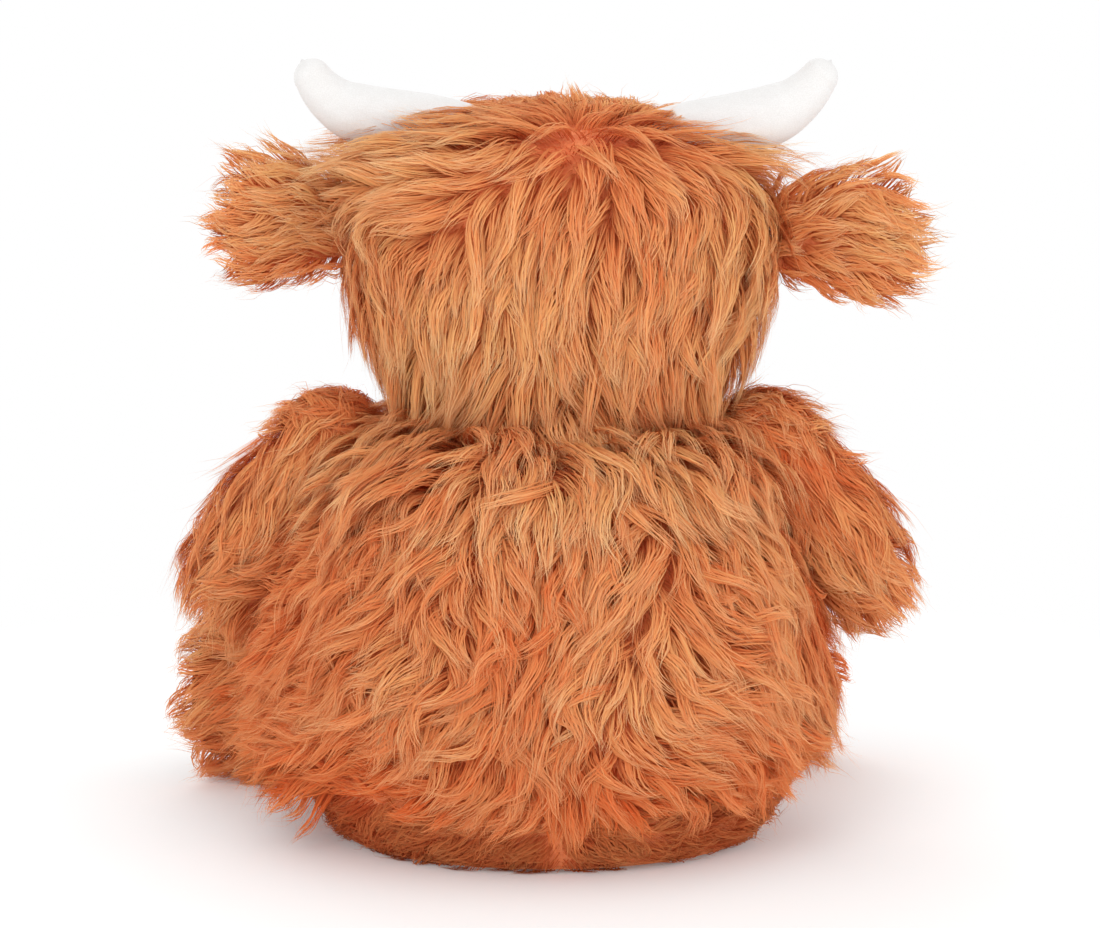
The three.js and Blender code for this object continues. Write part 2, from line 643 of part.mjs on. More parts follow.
// An ear along +Z from its hinge line at the origin: wide along X, thin along Y. Its root is turned
// about the hinge line, so that it moves freely in its hollow.
function earForm(length) {
  const root = EAR_ROOT_WIDTH / 2;
  const rootShare = EAR_ROOT_RADIUS / root;
  const points = [];
  // The root's round, a little past its widest place.
  const quarter = 4;
  for (let i = 0; i <= quarter + 1; i++) {
    const angle = (Math.PI / 2) * (i / quarter - 1);
    points.push(new THREE.Vector2(i ? root * Math.cos(angle) : 0, EAR_ROOT_RADIUS * Math.sin(angle)));
  }
  const blade = new THREE.SplineCurve([
    points[points.length - 1],
    ...EAR_BLADE.map(([wide, along]) => new THREE.Vector2((wide * EAR_WIDTH) / 2, along * length)),
  ]);
  points.push(...blade.getPoints(10).slice(1), new THREE.Vector2(0, length));
  const ear = turned(points, SMALL_SIDES);
  const place = ear.attributes.position;
  for (let i = 0; i < place.count; i++) {
    const share = THREE.MathUtils.smoothstep(place.getZ(i), 0, length / 2);
    const thin = THREE.MathUtils.lerp(rootShare, EAR_THICKNESS / EAR_WIDTH, share);
    place.setY(i, place.getY(i) * thin);
  }
  return ear;
}

// Takes an ear from its own frame to the head's: its length along the sweep, its width upright.
function earTurn(side) {
  const sweep = radians(EAR_SWEEP);
  const along = new THREE.Vector3(side * Math.cos(sweep), Math.sin(sweep), 0);
  const across = new THREE.Vector3().crossVectors(along, Z_AXIS);
  return new THREE.Matrix4().makeBasis(Z_AXIS, across, along);
}

function earJoint(side) {
  const out = (HEAD_WIDTH / 2) * headShare(EAR_RISE) - EAR_SINK;
  return new THREE.Vector3(side * out, -HEAD_SET_FORWARD, EAR_RISE);
}

// The hollow in the head for an ear's root: a ball squeezed to the root's shape, plus the gap.
function earHollow(side) {
  const radius = EAR_ROOT_RADIUS + GAP;
  const squeezed = new THREE.SphereGeometry(radius / Math.cos(halfFacet), BALL_SIDES, BALL_SIDES / 2);
  squeezed.rotateX(Math.PI / 2).scale(1, 1, (EAR_ROOT_WIDTH / 2 + GAP) / radius);
  return solidOf(moved(squeezed, earJoint(side)));
}

function addEar(head, name, side) {
  const group = new THREE.Group();
  group.position.copy(earJoint(side));
  head.add(group);
  const turn = earTurn(side);
  const length = side > 0 ? LEFT_EAR_LENGTH : RIGHT_EAR_LENGTH;
  const inPlace = (geometry) => solidOf(geometry.clone().applyMatrix4(turn));
  // The lining's bed is cut straight down into the ear's front.
  const bedFor = (spare) => {
    const half = EAR_WIDTH / 2 - LINING_MARGIN + spare;
    const outline = ovalPoints(half, LINING_REACH / 2 + spare, LINING_SQUARENESS, 9);
    const mirrored = outline.slice(1, -1).reverse().map((point) => new THREE.Vector2(-point.x, point.y));
    const shape = new THREE.Shape([...outline, ...mirrored]);
    const bed = new THREE.ExtrudeGeometry(shape, { depth: EAR_THICKNESS, bevelEnabled: false });
    const floor = EAR_THICKNESS / 2 - LINING_THICKNESS - spare;
    bed.rotateX(Math.PI / 2).translate(0, side > 0 ? floor + EAR_THICKNESS : -floor, length * LINING_MIDDLE);
    return inPlace(bed);
  };
  const ear = inPlace(earForm(length));
  addPiece(group, name + "_ear_coat", ear.subtract(bedFor(GAP)), coatMaterial);
  addPiece(group, name + "_ear_lining", ear.intersect(bedFor(0)), muzzleMaterial);
}

function addHead(root) {
  const head = new THREE.Group();
  head.position.copy(neckCentre);
  head.rotation.y = -radians(HEAD_TILT);
  root.add(head);
  const neck = hollowFor(NECK_RADIUS, origin, X_AXIS);
  const neckInside = ball(NECK_RADIUS + COAT, origin, X_AXIS, INNER_SIDES);
  const neckFilling = ball(NECK_RADIUS + COAT + GAP, origin, X_AXIS, INNER_SIDES);
  const muzzleRoom = muzzleForm(MUZZLE_CLOTH);
  const room = headForm(COAT).subtract(neckInside);

  let coat = headForm(0).subtract(neck).subtract(room).subtract(muzzleRoom);
  let filling = headForm(COAT + GAP).add(muzzleForm(MUZZLE_CLOTH + GAP)).subtract(neckFilling);
  const washerBack = -PINCHED_COAT - 2 * GAP - WASHER_THICKNESS;
  for (const [name, side] of SIDES) {
    const place = eyePlace(side);
    const stemRoom = cylinder(STEM_RADIUS + GAP, -2 * COAT, GAP).applyMatrix4(place);
    const washerRoom = cylinder(WASHER_RADIUS + GAP, -3 * COAT, -PINCHED_COAT - GAP).applyMatrix4(place);
    coat = coat.subtract(solidOf(stemRoom)).subtract(solidOf(washerRoom)).subtract(earHollow(side));
    filling = filling.subtract(solidOf(washerRoom));
    const washer = washerGeometry().translate(0, 0, washerBack).applyMatrix4(place);
    addPiece(head, name + "_eye", solidOf(eyeGeometry().applyMatrix4(place)), eyeMaterial);
    addPiece(head, name + "_eye_washer", solidOf(washer), washerMaterial);
    addEar(head, name, side);

    const outside = headForm(-GAP);
    const horn = hornForm(side, 0).subtract(outside);
    const hornRoom = hornForm(side, HORN_CLOTH);
    addPiece(head, name + "_horn_cover", horn.subtract(hornRoom), hornMaterial);
    addPiece(head, name + "_horn_stuffing", hornForm(side, HORN_CLOTH + GAP).subtract(outside), fillMaterial);
  }
  addPiece(head, "head_coat", coat, coatMaterial);
  addPiece(head, "head_stuffing", filling, fillMaterial);
  addPiece(head, "forelock", forelockForm(), coatMaterial);

  const muzzle = muzzleForm(0).subtract(muzzleRoom).subtract(headForm(-GAP));
  addPiece(head, "muzzle_cover", muzzle, muzzleMaterial);
  const noseLayer = muzzleForm(-GAP - NOSTRIL_THICKNESS).subtract(muzzleForm(-GAP));
  for (const [name, side] of SIDES) {
    const reach = MUZZLE_LENGTH;
    const oval = new THREE.CylinderGeometry(1, 1, reach, SMALL_SIDES);
    oval.scale(NOSTRIL_WIDTH / 2, 1, NOSTRIL_HEIGHT / 2);
    const front = faceAt(0, HEAD_CENTRE_HEIGHT).y - MUZZLE_REACH / 2 - reach / 2;
    oval.translate((side * NOSTRIL_SPACING) / 2, front, MUZZLE_CENTRE_HEIGHT + NOSTRIL_RISE);
    addPiece(head, name + "_nostril", noseLayer.intersect(solidOf(oval)), nostrilMaterial);
  }
}

// A limb turned from its profile. Outside, it is laid with locks that point along it, but for a length of
// its profile at the root and another at the end.
function limbForm(points, inset, rootLength, endLength) {
  if (inset > 0) return turned(points, INNER_SIDES);
  const total = distancesAlong(points)[points.length - 1];
  return laidWithLocks(points, { from: rootLength, to: total - endLength, locks: LIMB_LOCKS, way: 1 });
}

// An arm's stub along +Z: it starts inside the ball, swells and ends round.
function armProfile(inset) {
  const hand = HAND_RADIUS - inset;
  const handAt = ARM_LENGTH - HAND_RADIUS;
  const swell = new THREE.SplineCurve([
    new THREE.Vector2(ARM_NECK_RADIUS - inset, 0),
    new THREE.Vector2(ARM_RADIUS - inset, ARM_SWELL),
    new THREE.Vector2(hand, handAt),
  ]);
  const end = quarterRound(new THREE.Vector2(0, handAt), hand, hand, 5);
  return [new THREE.Vector2(0, 0), ...swell.getPoints(4), ...end];
}

function addArm(root, name, side) {
  const group = new THREE.Group();
  group.position.copy(armJoint(side));
  root.add(group);
  const { point, normal } = flank(side);
  // All that lies behind the flank, with a margin.
  const behindFlank = (margin) => {
    const size = 4 * ARM_LENGTH;
    const block = aimed(new THREE.BoxGeometry(size, size, size).translate(0, 0, margin - size / 2), normal);
    return solidOf(moved(block, point.clone().sub(armJoint(side))));
  };
  const armForm = (inset, margin) => {
    const stub = solidOf(aimed(limbForm(armProfile(inset), inset, ARM_BALL, HAND_RADIUS), armAxis(side)));
    const round = ball(ARM_BALL - inset, origin, Y_AXIS, inset > 0 ? INNER_SIDES : BALL_SIDES);
    return stub.subtract(behindFlank(margin)).add(round);
  };
  const inwards = new THREE.Vector3(-side, 0, 0);
  const opening = solidOf(aimed(cylinder(ARM_OPENING, 0, 2 * ARM_BALL), inwards));
  const coat = armForm(0, GAP).subtract(armForm(LIMB_COAT, GAP + LIMB_COAT)).subtract(opening);
  addPiece(group, name + "_arm_coat", coat, coatMaterial);
  addPiece(group, name + "_arm_stuffing", armForm(LIMB_COAT + GAP, 2 * GAP + LIMB_COAT), fillMaterial);
}

// A leg along +Z, from inside its ball: a drawn-in neck, a stout leg and a flat end.
function legProfile(inset) {
  const [round, neck, radius] = [LEG_BALL, LEG_NECK_RADIUS, LEG_RADIUS].map((size) => size - inset);
  const neckAt = Math.sqrt(round ** 2 - neck ** 2);
  const rim = Math.max(LEG_RADIUS - SOLE_RADIUS - inset, LEG_RIM);
  const end = LEG_LENGTH - inset;
  const flankCurve = new THREE.SplineCurve([
    new THREE.Vector2(neck, neckAt),
    new THREE.Vector2(radius * LEG_SWELL_SHARE, neckAt + LEG_SWELL),
    new THREE.Vector2(radius, LEG_CALF),
    new THREE.Vector2(radius, end - rim),
  ]);
  const start = [new THREE.Vector2(0, 0), new THREE.Vector2(neck, 0)];
  const edge = quarterRound(new THREE.Vector2(radius - rim, end - rim), rim, rim, 2);
  return [...start, ...flankCurve.getPoints(5), ...edge, new THREE.Vector2(0, end)];
}

function addLeg(root, name, side) {
  const group = new THREE.Group();
  group.position.copy(legJoint(side));
  root.add(group);
  const place = (geometry) => solidOf(aimed(geometry, legAxis(side)));
  const floor = slab(-LEG_LENGTH, GAP).translate(0, 0, -LEG_JOINT_HEIGHT);
  const legForm = (inset) => {
    const round = ball(LEG_BALL - inset, origin, Z_AXIS, inset > 0 ? INNER_SIDES : BALL_SIDES);
    return place(limbForm(legProfile(inset), inset, 2 * LEG_NECK_RADIUS, LEG_RADIUS)).add(round);
  };
  const soleBack = LEG_LENGTH - SOLE_THICKNESS;
  const ledge = LEG_LENGTH - LIMB_COAT - LEG_RIM;
  const soleRoom = place(cylinder(SOLE_RADIUS + GAP, ledge, 2 * LEG_LENGTH, LIMB_SIDES));
  const coat = legForm(0).subtract(legForm(LIMB_COAT)).subtract(soleRoom).subtract(floor);
  addPiece(group, name + "_leg_coat", coat, coatMaterial);

  const plug = place(cylinder(SOLE_RADIUS, ledge + GAP, soleBack - GAP, LIMB_SIDES));
  addPiece(group, name + "_leg_stuffing", legForm(LIMB_COAT + GAP).add(plug), fillMaterial);
  const sole = [
    new THREE.Vector2(0, soleBack),
    new THREE.Vector2(SOLE_RADIUS, soleBack),
    new THREE.Vector2(SOLE_RADIUS, LEG_LENGTH),
    ...quarterRound(new THREE.Vector2(0, LEG_LENGTH), SOLE_RADIUS, SOLE_DOME, 2),
  ];
  addPiece(group, name + "_foot_sole", place(turned(sole, LIMB_SIDES)), muzzleMaterial);
}

const cow = new THREE.Group();
addBody(cow);
addHead(cow);
for (const [name, side] of SIDES) {
  addArm(cow, name, side);
  addLeg(cow, name, side);
}

export default cow;
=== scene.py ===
"""The looks of a sitting plush cow: shaggy coat, velour horns, short-plush muzzle and soles.

Metres, +Z up. The cow faces -Y and its left side is +X. The photograph shows its back.
The coat is made of locks: each is a bundle of flat tapering strands that follow one guide line over
the cloth, and each region of the toy has its own lie of the hair.
"""
import math
from dataclasses import dataclass
from typing import Callable

import bpy
import numpy as np
from mathutils import Matrix, Vector


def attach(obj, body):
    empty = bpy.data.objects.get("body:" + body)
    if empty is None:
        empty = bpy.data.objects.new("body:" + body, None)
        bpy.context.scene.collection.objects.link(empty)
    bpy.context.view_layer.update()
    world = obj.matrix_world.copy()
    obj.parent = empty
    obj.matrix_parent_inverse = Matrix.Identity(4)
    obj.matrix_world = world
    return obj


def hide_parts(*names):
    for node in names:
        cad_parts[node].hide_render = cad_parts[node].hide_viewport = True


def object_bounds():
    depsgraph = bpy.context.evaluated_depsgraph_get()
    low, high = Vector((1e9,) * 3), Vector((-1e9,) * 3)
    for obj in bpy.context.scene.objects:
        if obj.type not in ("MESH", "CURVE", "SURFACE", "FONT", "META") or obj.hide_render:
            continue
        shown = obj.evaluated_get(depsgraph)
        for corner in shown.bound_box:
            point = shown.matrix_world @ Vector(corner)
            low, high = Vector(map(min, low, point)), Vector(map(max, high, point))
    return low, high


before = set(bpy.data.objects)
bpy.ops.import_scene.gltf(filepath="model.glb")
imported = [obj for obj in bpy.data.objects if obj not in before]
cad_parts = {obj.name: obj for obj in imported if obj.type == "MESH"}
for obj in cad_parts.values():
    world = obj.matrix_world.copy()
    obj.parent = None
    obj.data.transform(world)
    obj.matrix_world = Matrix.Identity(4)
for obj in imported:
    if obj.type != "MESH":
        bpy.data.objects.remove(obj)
cad_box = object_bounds()

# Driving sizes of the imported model, in metres.
PILE = 0.010  # the cloth lies this far inside the solids
LIMB_PILE = 0.008
LIMB_HAIR = 0.036  # the length of the hair on the arms and legs
SEAT_PILE = 0.002  # the pile under the seat is pressed flat
BODY_TOP = 0.172
BODY_RADIUS = 0.118
BODY_PROFILE = [(0.084, 0.0), (0.1055, 0.024), (BODY_RADIUS, 0.072), (0.105, 0.125), (0.076, 0.160),
                (0.040, BODY_TOP)]
BODY_FLATTENING = 0.202 / 0.236
NECK = np.array([-0.003, 0.0, 0.150])
NECK_RADIUS = 0.050
HEAD_TILT = math.radians(1.5)
HEAD_CENTRE = np.array([0.0, -0.006, 0.088])  # from the neck
HEAD_WIDTH = 0.172
HEAD_DEPTH = 0.148
HEAD_HEIGHT = 0.118
HEAD_SQUARENESS = 3.0
HEAD_PLAN_SQUARENESS = 2.3
MUZZLE_WIDTH = 0.086
MUZZLE_HEIGHT = 0.058
MUZZLE_LENGTH = 0.084
MUZZLE_REACH = 0.034
MUZZLE_RISE = 0.058
MUZZLE_SQUARENESS = 2.5
NOSTRIL_SPACING = 0.032
NOSTRIL_WIDTH = 0.012
NOSTRIL_HEIGHT = 0.008
NOSTRIL_RISE = 0.007
NOSTRIL_THICKNESS = 0.0016
THREAD_RIDGE = 0.00022  # how far a stitch stands up between its furrows
THREAD_WIDTH = 0.0011
EYE_SPACING = 0.078
EYE_RISE = 0.096
EYE_RADIUS = 0.007
EYE_RIM = 0.001
EYE_DOME = 0.005
STEM_RADIUS = 0.0022
STEM_LENGTH = 0.009
EYE_SINK = 0.0045  # the eye pulls the coat in to near its cloth
EYE_SEAT_RADIUS = 0.016  # the cloth bulges over the washer as far as this
HORN_ROOT_OUT = 0.036
HORN_ROOT_RISE = 0.130
HORN_SHOULDER_OUT = 0.062
HORN_SHOULDER_RISE = 0.140
HORN_REACH = 0.1036
HORN_TIP_RISE = 0.1608
HORN_EVENING = 0.0026  # the left horn's tip is lower on the leaning head, the right one's higher
HORN_LEAN = math.radians(33)
HORN_UPTURN = 0.034
HORN_ROOT_RADIUS = 0.012
HORN_BELLY_RADIUS = 0.0122
HORN_BELLY_AT = 0.6
HORN_TIP_RADIUS = 0.0075
HORN_NECK_RADIUS = HORN_TIP_RADIUS * 1.28
HORN_NECK_AT = 0.84  # as a share of its length, like the belly's place
HORN_SET_BACK = 0.003
HORN_SIDES = 40
HORN_SEAM_DEPTH = 0.022  # as a share of the radius
HORN_SEAM_WIDTH = 0.10  # in radians
EAR_RISE = 0.095
EAR_LENGTH = {1: 0.050, -1: 0.056}  # of the left and the right one
EAR_WIDTH = 0.050
EAR_ROOT = [(0, -0.006), (0.0155, -0.003), (0.0185, 0.002)]
EAR_OUTLINE = [(0.78, 0.22), (1, 0.55), (0.8, 0.84), (0.4, 0.97)]  # shares of its half width and length
EAR_THICKNESS = 0.017
EAR_FLATTENING = 0.9  # the cloth under the pile is this much flatter than the ear
EAR_SINK = 0.001
EAR_SWEEP = math.radians(12)
EAR_PILE = 0.004
LINING_WIDTH = 0.038
LINING_REACH = 0.036
LINING_MIDDLE = 0.54  # as a share of the ear's length
LINING_SQUARENESS = 2.3
ARM_JOINT = np.array([0.085, -0.008, 0.156])
ARM_BALL = 0.028
ARM_LENGTH = 0.091
ARM_RADIUS = 0.030
ARM_SWELL_AT = 0.4  # as a share of its length
HAND_RADIUS = 0.027
ARM_DROP = math.radians(52)
ARM_FORWARD = math.radians(22)
LEG_JOINT = np.array([0.066, -0.07272, 0.040])
LEG_BALL = 0.034
LEG_RADIUS = 0.0365
LEG_LENGTH = 0.080
LEG_BALL_END = 0.35  # the angle at which the ball runs into the leg
LEG_SWELL = ((0.97, 0.036), (1, 0.05))  # shares of its radius, and how far from the joint it has them
LEG_LEAST_RIM = 0.002
LEG_SPLAY = {"left": math.radians(67), "right": math.radians(22)}
LEG_DROOP = math.radians(3)
SOLE_RADIUS = 0.029
SOLE_THICKNESS = 0.003
SOLE_DOME = 0.002
SOLE_SINK = 0.001  # the cloth ends this far behind the sole's face
SOLE_BEVEL = 0.0006
SOLE_STITCHES = 44
STITCH_INSET = 0.003  # from the sole's edge
STITCH_HALVES = (0.0014, 0.0004, 0.0005)  # half a stitch's length, width and height
SEAM_HEIGHT = 0.024
COLLAR_HEIGHT = 0.147  # the hair above it starts beside the neck
FLOOR_CLEARANCE = 0.0006
FREE_REACH = 0.008  # hair stands this far outside the solids' box before it is pressed in
PRESSED_REACH = 0.0075  # and at most this much further

SIDES = (("left", 1), ("right", -1))
WHORL = np.array([-0.006, 0.030, 0.142])  # on the crown, in the head's frame
PARTING = -0.006  # where the hair parts over the seat
DOWN = np.array([0.0, 0.0, -1.0])
UP = np.array([0.0, 0.0, 1.0])
QUARTER = math.pi / 2
TURNED_SIDES = 48  # of the eyes and soles


# Small vector helpers for arrays of points.

def unit(v):
    return v / np.maximum(np.linalg.norm(v, axis=-1, keepdims=True), 1e-9)


def ways(x, y, z):
    """Directions from their three parts, each an array or one number for all."""
    return np.stack(np.broadcast_arrays(x, y, z), axis=-1).astype(float)


def spot(p, x, z, radius):
    """1 on a line from front to back and fading to 0 round it."""
    return np.exp(-((p[:, 0] - x) ** 2 + (p[:, 2] - z) ** 2) / radius ** 2)


def smooth_step(x, low, high):
    t = np.clip((x - low) / (high - low), 0, 1)
    return t * t * (3 - 2 * t)


def turn_about(axis, angle):
    return np.array(Matrix.Rotation(angle, 3, Vector(axis)))


def frame_along(direction, across):
    """Columns are a local frame: z along direction, y as near to across as it can be."""
    z = unit(np.asarray(direction, float))
    x = unit(np.cross(np.asarray(across, float), z))
    return np.stack([x, np.cross(z, x), z], axis=1)


def spline(points, count):
    """Points along a smooth curve through the given ones (Catmull-Rom, ends doubled)."""
    p = np.asarray(points, float)
    p = np.vstack([2 * p[0] - p[1], p, 2 * p[-1] - p[-2]])
    out = []
    for t in np.linspace(0, len(points) - 1, count):
        i = min(int(t), len(points) - 2)
        f = t - i
        a, b, c, d = p[i:i + 4]
        out.append(tuple(0.5 * (2 * b + (c - a) * f + (2 * a - 5 * b + 4 * c - d) * f ** 2
                                + (3 * b - a - 3 * c + d) * f ** 3)))
    return out


def arc(start, end, count, out, up, centre=(0, 0)):
    """Points on an ellipse with half-axes out and up, between two angles."""
    angles = np.linspace(start, end, count)
    return [(centre[0] + out * math.cos(a), centre[1] + up * math.sin(a)) for a in angles]


class Waves:
    """A smooth random number for each point, from a few plane waves."""

    def __init__(self, seed, size, count=9):
        rng = np.random.default_rng(seed)
        self.k = unit(rng.normal(size=(count, 3))) * (2 * math.pi / size) * rng.uniform(0.6, 1.5, (count, 1))
        self.phase = rng.uniform(0, 2 * math.pi, count)
        self.scale = math.sqrt(2 / count)

    def __call__(self, p):
        return np.sin(p @ self.k.T + self.phase).sum(axis=-1) * self.scale


class Form:
    """A closed form turned about its own z axis, with a flattening and a squareness of its plan."""

    def __init__(self, profile, origin=(0, 0, 0), axes=None, flat=1.0, square=2.0, floor=None):
        self.profile = np.asarray(profile, float)
        self.origin = np.asarray(origin, float)
        self.axes = np.eye(3) if axes is None else np.asarray(axes, float)
        self.flat = flat
        self.square = square
        self.floor = floor

    def local(self, p):
        return (p - self.origin) @ self.axes

    def world(self, p):
        return p @ self.axes.T + self.origin

    def level(self, p):
        """0 on the form, negative inside; as a distance in the plane of the profile."""
        q = self.local(p)
        x, y = np.abs(q[:, 0]), np.abs(q[:, 1]) / self.flat
        r = (x ** self.square + y ** self.square) ** (1 / self.square)
        at = np.stack([r, q[:, 2]], axis=1)
        a, b = self.profile[:-1], self.profile[1:]
        ab = b - a
        size = np.maximum((ab ** 2).sum(axis=1), 1e-12)
        ap = at[:, None] - a[None]
        t = np.clip((ap * ab).sum(axis=2) / size, 0, 1)
        gap = ap - t[..., None] * ab
        d2 = (gap ** 2).sum(axis=2)
        best = d2.argmin(axis=1)
        rows = np.arange(len(at))
        d = np.sqrt(d2[rows, best])
        cross = ab[best, 0] * ap[rows, best, 1] - ab[best, 1] * ap[rows, best, 0]
        return np.where(cross < 0, d, -d)

    def probe(self, p):
        """About how far each point is outside the form, and the way out of it."""
        step = 0.0006
        rises = [self.level(p + e) - self.level(p - e) for e in np.eye(3) * step]
        slope = np.stack(rises, axis=1) / (2 * step)
        steep = np.maximum(np.linalg.norm(slope, axis=1), 0.5)
        return self.level(p) / steep, unit(slope)

    def height_above(self, p):
        return self.probe(p)[0]

    def normal(self, p):
        return self.probe(p)[1]

    def to_height(self, p, height):
        """Moves points along the form's normal to the given height above it."""
        above, n = self.probe(p)
        return p + n * (height - above)[:, None]

    def sample(self, count, rng):
        """Random points on the form, evenly over its area."""
        a, b = self.profile[:-1], self.profile[1:]
        weight = np.linalg.norm(b - a, axis=1) * (a[:, 0] + b[:, 0])
        i = rng.choice(len(a), count, p=weight / weight.sum())
        t = rng.random(count)
        ra, rb = a[i, 0], b[i, 0]
        t = np.where(np.abs(rb - ra) > 1e-6,
                     (np.sqrt(ra ** 2 + t * (rb ** 2 - ra ** 2)) - ra) / np.where(rb == ra, 1, rb - ra), t)
        rz = a[i] + (b[i] - a[i]) * t[:, None]
        return self.world(self.around(rz[:, 0], rz[:, 1], rng.uniform(0, 2 * math.pi, count)))

    def around(self, r, z, angle):
        c, s = np.cos(angle), np.sin(angle)
        bulge = (np.abs(c) ** self.square + np.abs(s) ** self.square) ** (-1 / self.square)
        return np.stack([r * c * bulge, r * s * bulge * self.flat, z], axis=-1)

    def mesh(self, name, sides=96):
        """A closed mesh of the form, with a pole at each end."""
        rings = self.profile[1:-1]
        angle = np.arange(sides) * 2 * math.pi / sides
        grid = np.array([self.around(np.full(sides, r), np.full(sides, z), angle) for r, z in rings])
        ends = np.array([[0, 0, self.profile[0, 1]], [0, 0, self.profile[-1, 1]]])
        points = self.world(np.vstack([grid.reshape(-1, 3), ends]))
        if self.floor is not None:
            points[:, 2] = np.maximum(points[:, 2], self.floor)
        return add_mesh(name, points, tube_faces(len(rings), sides, np.linalg.det(self.axes) < 0))


def tube_faces(rings, sides, turned_over=False):
    """The faces of rings of points, one after the other, with a point at each end that comes after them."""
    faces = []
    for i in range(rings - 1):
        for j in range(sides):
            k = (j + 1) % sides
            faces.append((i * sides + j, i * sides + k, (i + 1) * sides + k, (i + 1) * sides + j))
    bottom = rings * sides
    last = (rings - 1) * sides
    for j in range(sides):
        k = (j + 1) % sides
        faces.append((bottom, k, j))
        faces.append((bottom + 1, last + j, last + k))
    return [face[::-1] for face in faces] if turned_over else faces


def add_mesh(name, points, faces, smooth=True):
    mesh = bpy.data.meshes.new(name)
    mesh.from_pydata([tuple(p) for p in points], [], faces)
    mesh.update()
    if smooth:
        mesh.polygons.foreach_set("use_smooth", [True] * len(mesh.polygons))
    piece = bpy.data.objects.new(name, mesh)
    bpy.context.scene.collection.objects.link(piece)
    return piece


def inset_profile(points, inset):
    """A profile moved inwards, its ends kept on the axis."""
    p = np.asarray(points, float)
    along = np.empty_like(p)
    along[1:-1] = p[2:] - p[:-2]
    along[0], along[-1] = p[1] - p[0], p[-1] - p[-2]
    along = unit(along)
    moved = np.stack([p[:, 0] - inset * along[:, 1], p[:, 1] + inset * along[:, 0]], axis=1)
    moved[:, 0] = np.maximum(moved[:, 0], 0)
    moved[0, 0] = moved[-1, 0] = 0
    return moved


# The forms of the cloth, under the hair.

def body_form(inset):
    """The body, whose flat seat stays near the floor however thick the pile is."""
    outline = [(0, 0.0)] + spline(BODY_PROFILE, 40) + [(0, BODY_TOP)]
    profile = inset_profile(outline, inset)
    seat = min(inset, SEAT_PILE)
    low = profile[:, 1] < SEAM_HEIGHT
    profile[low, 1] = np.interp(profile[low, 1], [profile[0, 1], SEAM_HEIGHT], [seat, SEAM_HEIGHT])
    return Form(profile, flat=BODY_FLATTENING, floor=FLOOR_CLEARANCE)


tilt = turn_about((0, 1, 0), -HEAD_TILT)


def on_head(p):
    """From the neck's frame, which leans with the head, to the scene's."""
    return np.asarray(p, float) @ tilt.T + NECK


def ball_form(centre, radius):
    angle = np.linspace(-QUARTER, QUARTER, 25)
    profile = np.stack([radius * np.cos(angle), radius * np.sin(angle)], axis=1)
    profile[0, 0] = profile[-1, 0] = 0
    return Form(profile, centre)


def oval(half_width, half_height, squareness, count):
    angle = np.linspace(-QUARTER, QUARTER, count)
    out = half_width * np.abs(np.cos(angle)) ** (2 / squareness)
    up = half_height * np.sign(np.sin(angle)) * np.abs(np.sin(angle)) ** (2 / squareness)
    out[0] = out[-1] = 0
    return np.stack([out, up], axis=1)


def head_form(inset):
    profile = oval(HEAD_WIDTH / 2 - inset, HEAD_HEIGHT / 2 - inset, HEAD_SQUARENESS, 60)
    flat = (HEAD_DEPTH / 2 - inset) / (HEAD_WIDTH / 2 - inset)
    return Form(profile, on_head(HEAD_CENTRE), tilt, flat, HEAD_PLAN_SQUARENESS)


def head_share(height):
    up = abs(height - HEAD_CENTRE[2]) / (HEAD_HEIGHT / 2)
    return (1 - up ** HEAD_SQUARENESS) ** (1 / HEAD_SQUARENESS)


def face_depth(x, height):
    share = head_share(height)
    across = abs(x) / (HEAD_WIDTH / 2 * share)
    along = (1 - across ** HEAD_PLAN_SQUARENESS) ** (1 / HEAD_PLAN_SQUARENESS)
    return HEAD_CENTRE[1] - HEAD_DEPTH / 2 * share * along


def muzzle_form(inset):
    profile = oval(MUZZLE_WIDTH / 2 - inset, MUZZLE_LENGTH / 2 - inset, MUZZLE_SQUARENESS, 40)
    flat = (MUZZLE_HEIGHT / 2 - inset) / (MUZZLE_WIDTH / 2 - inset)
    front = face_depth(0, HEAD_CENTRE[2]) - MUZZLE_REACH
    centre = on_head((0, front + MUZZLE_LENGTH / 2, MUZZLE_RISE))
    # The form's z axis points forwards and its y axis up.
    axes = tilt @ np.array([[1, 0, 0], [0, 0, -1], [0, 1, 0]], float)
    return Form(profile, centre, axes, flat)


def arm_axis(side):
    level = math.cos(ARM_DROP)
    forward = level * math.sin(ARM_FORWARD)
    return np.array([side * level * math.cos(ARM_FORWARD), -forward, -math.sin(ARM_DROP)])


def arm_form(side, inset):
    ball, hand = ARM_BALL - inset, HAND_RADIUS - inset
    hand_at = ARM_LENGTH - HAND_RADIUS
    back = arc(-QUARTER, 0, 9, ball, ball)
    swell = (ARM_RADIUS - inset, ARM_LENGTH * ARM_SWELL_AT)
    stub = spline([(ball, 0), swell, (hand, hand_at)], 14)
    tip = arc(0, QUARTER, 9, hand, hand, (0, hand_at))
    profile = np.array(back + stub[1:] + tip[1:])
    profile[0, 0] = profile[-1, 0] = 0
    return Form(profile, ARM_JOINT * (side, 1, 1), frame_along(arm_axis(side), UP))


def leg_axis(name, side):
    level = math.cos(LEG_DROOP)
    splay = LEG_SPLAY[name]
    return np.array([side * level * math.sin(splay), -level * math.cos(splay), -math.sin(LEG_DROOP)])


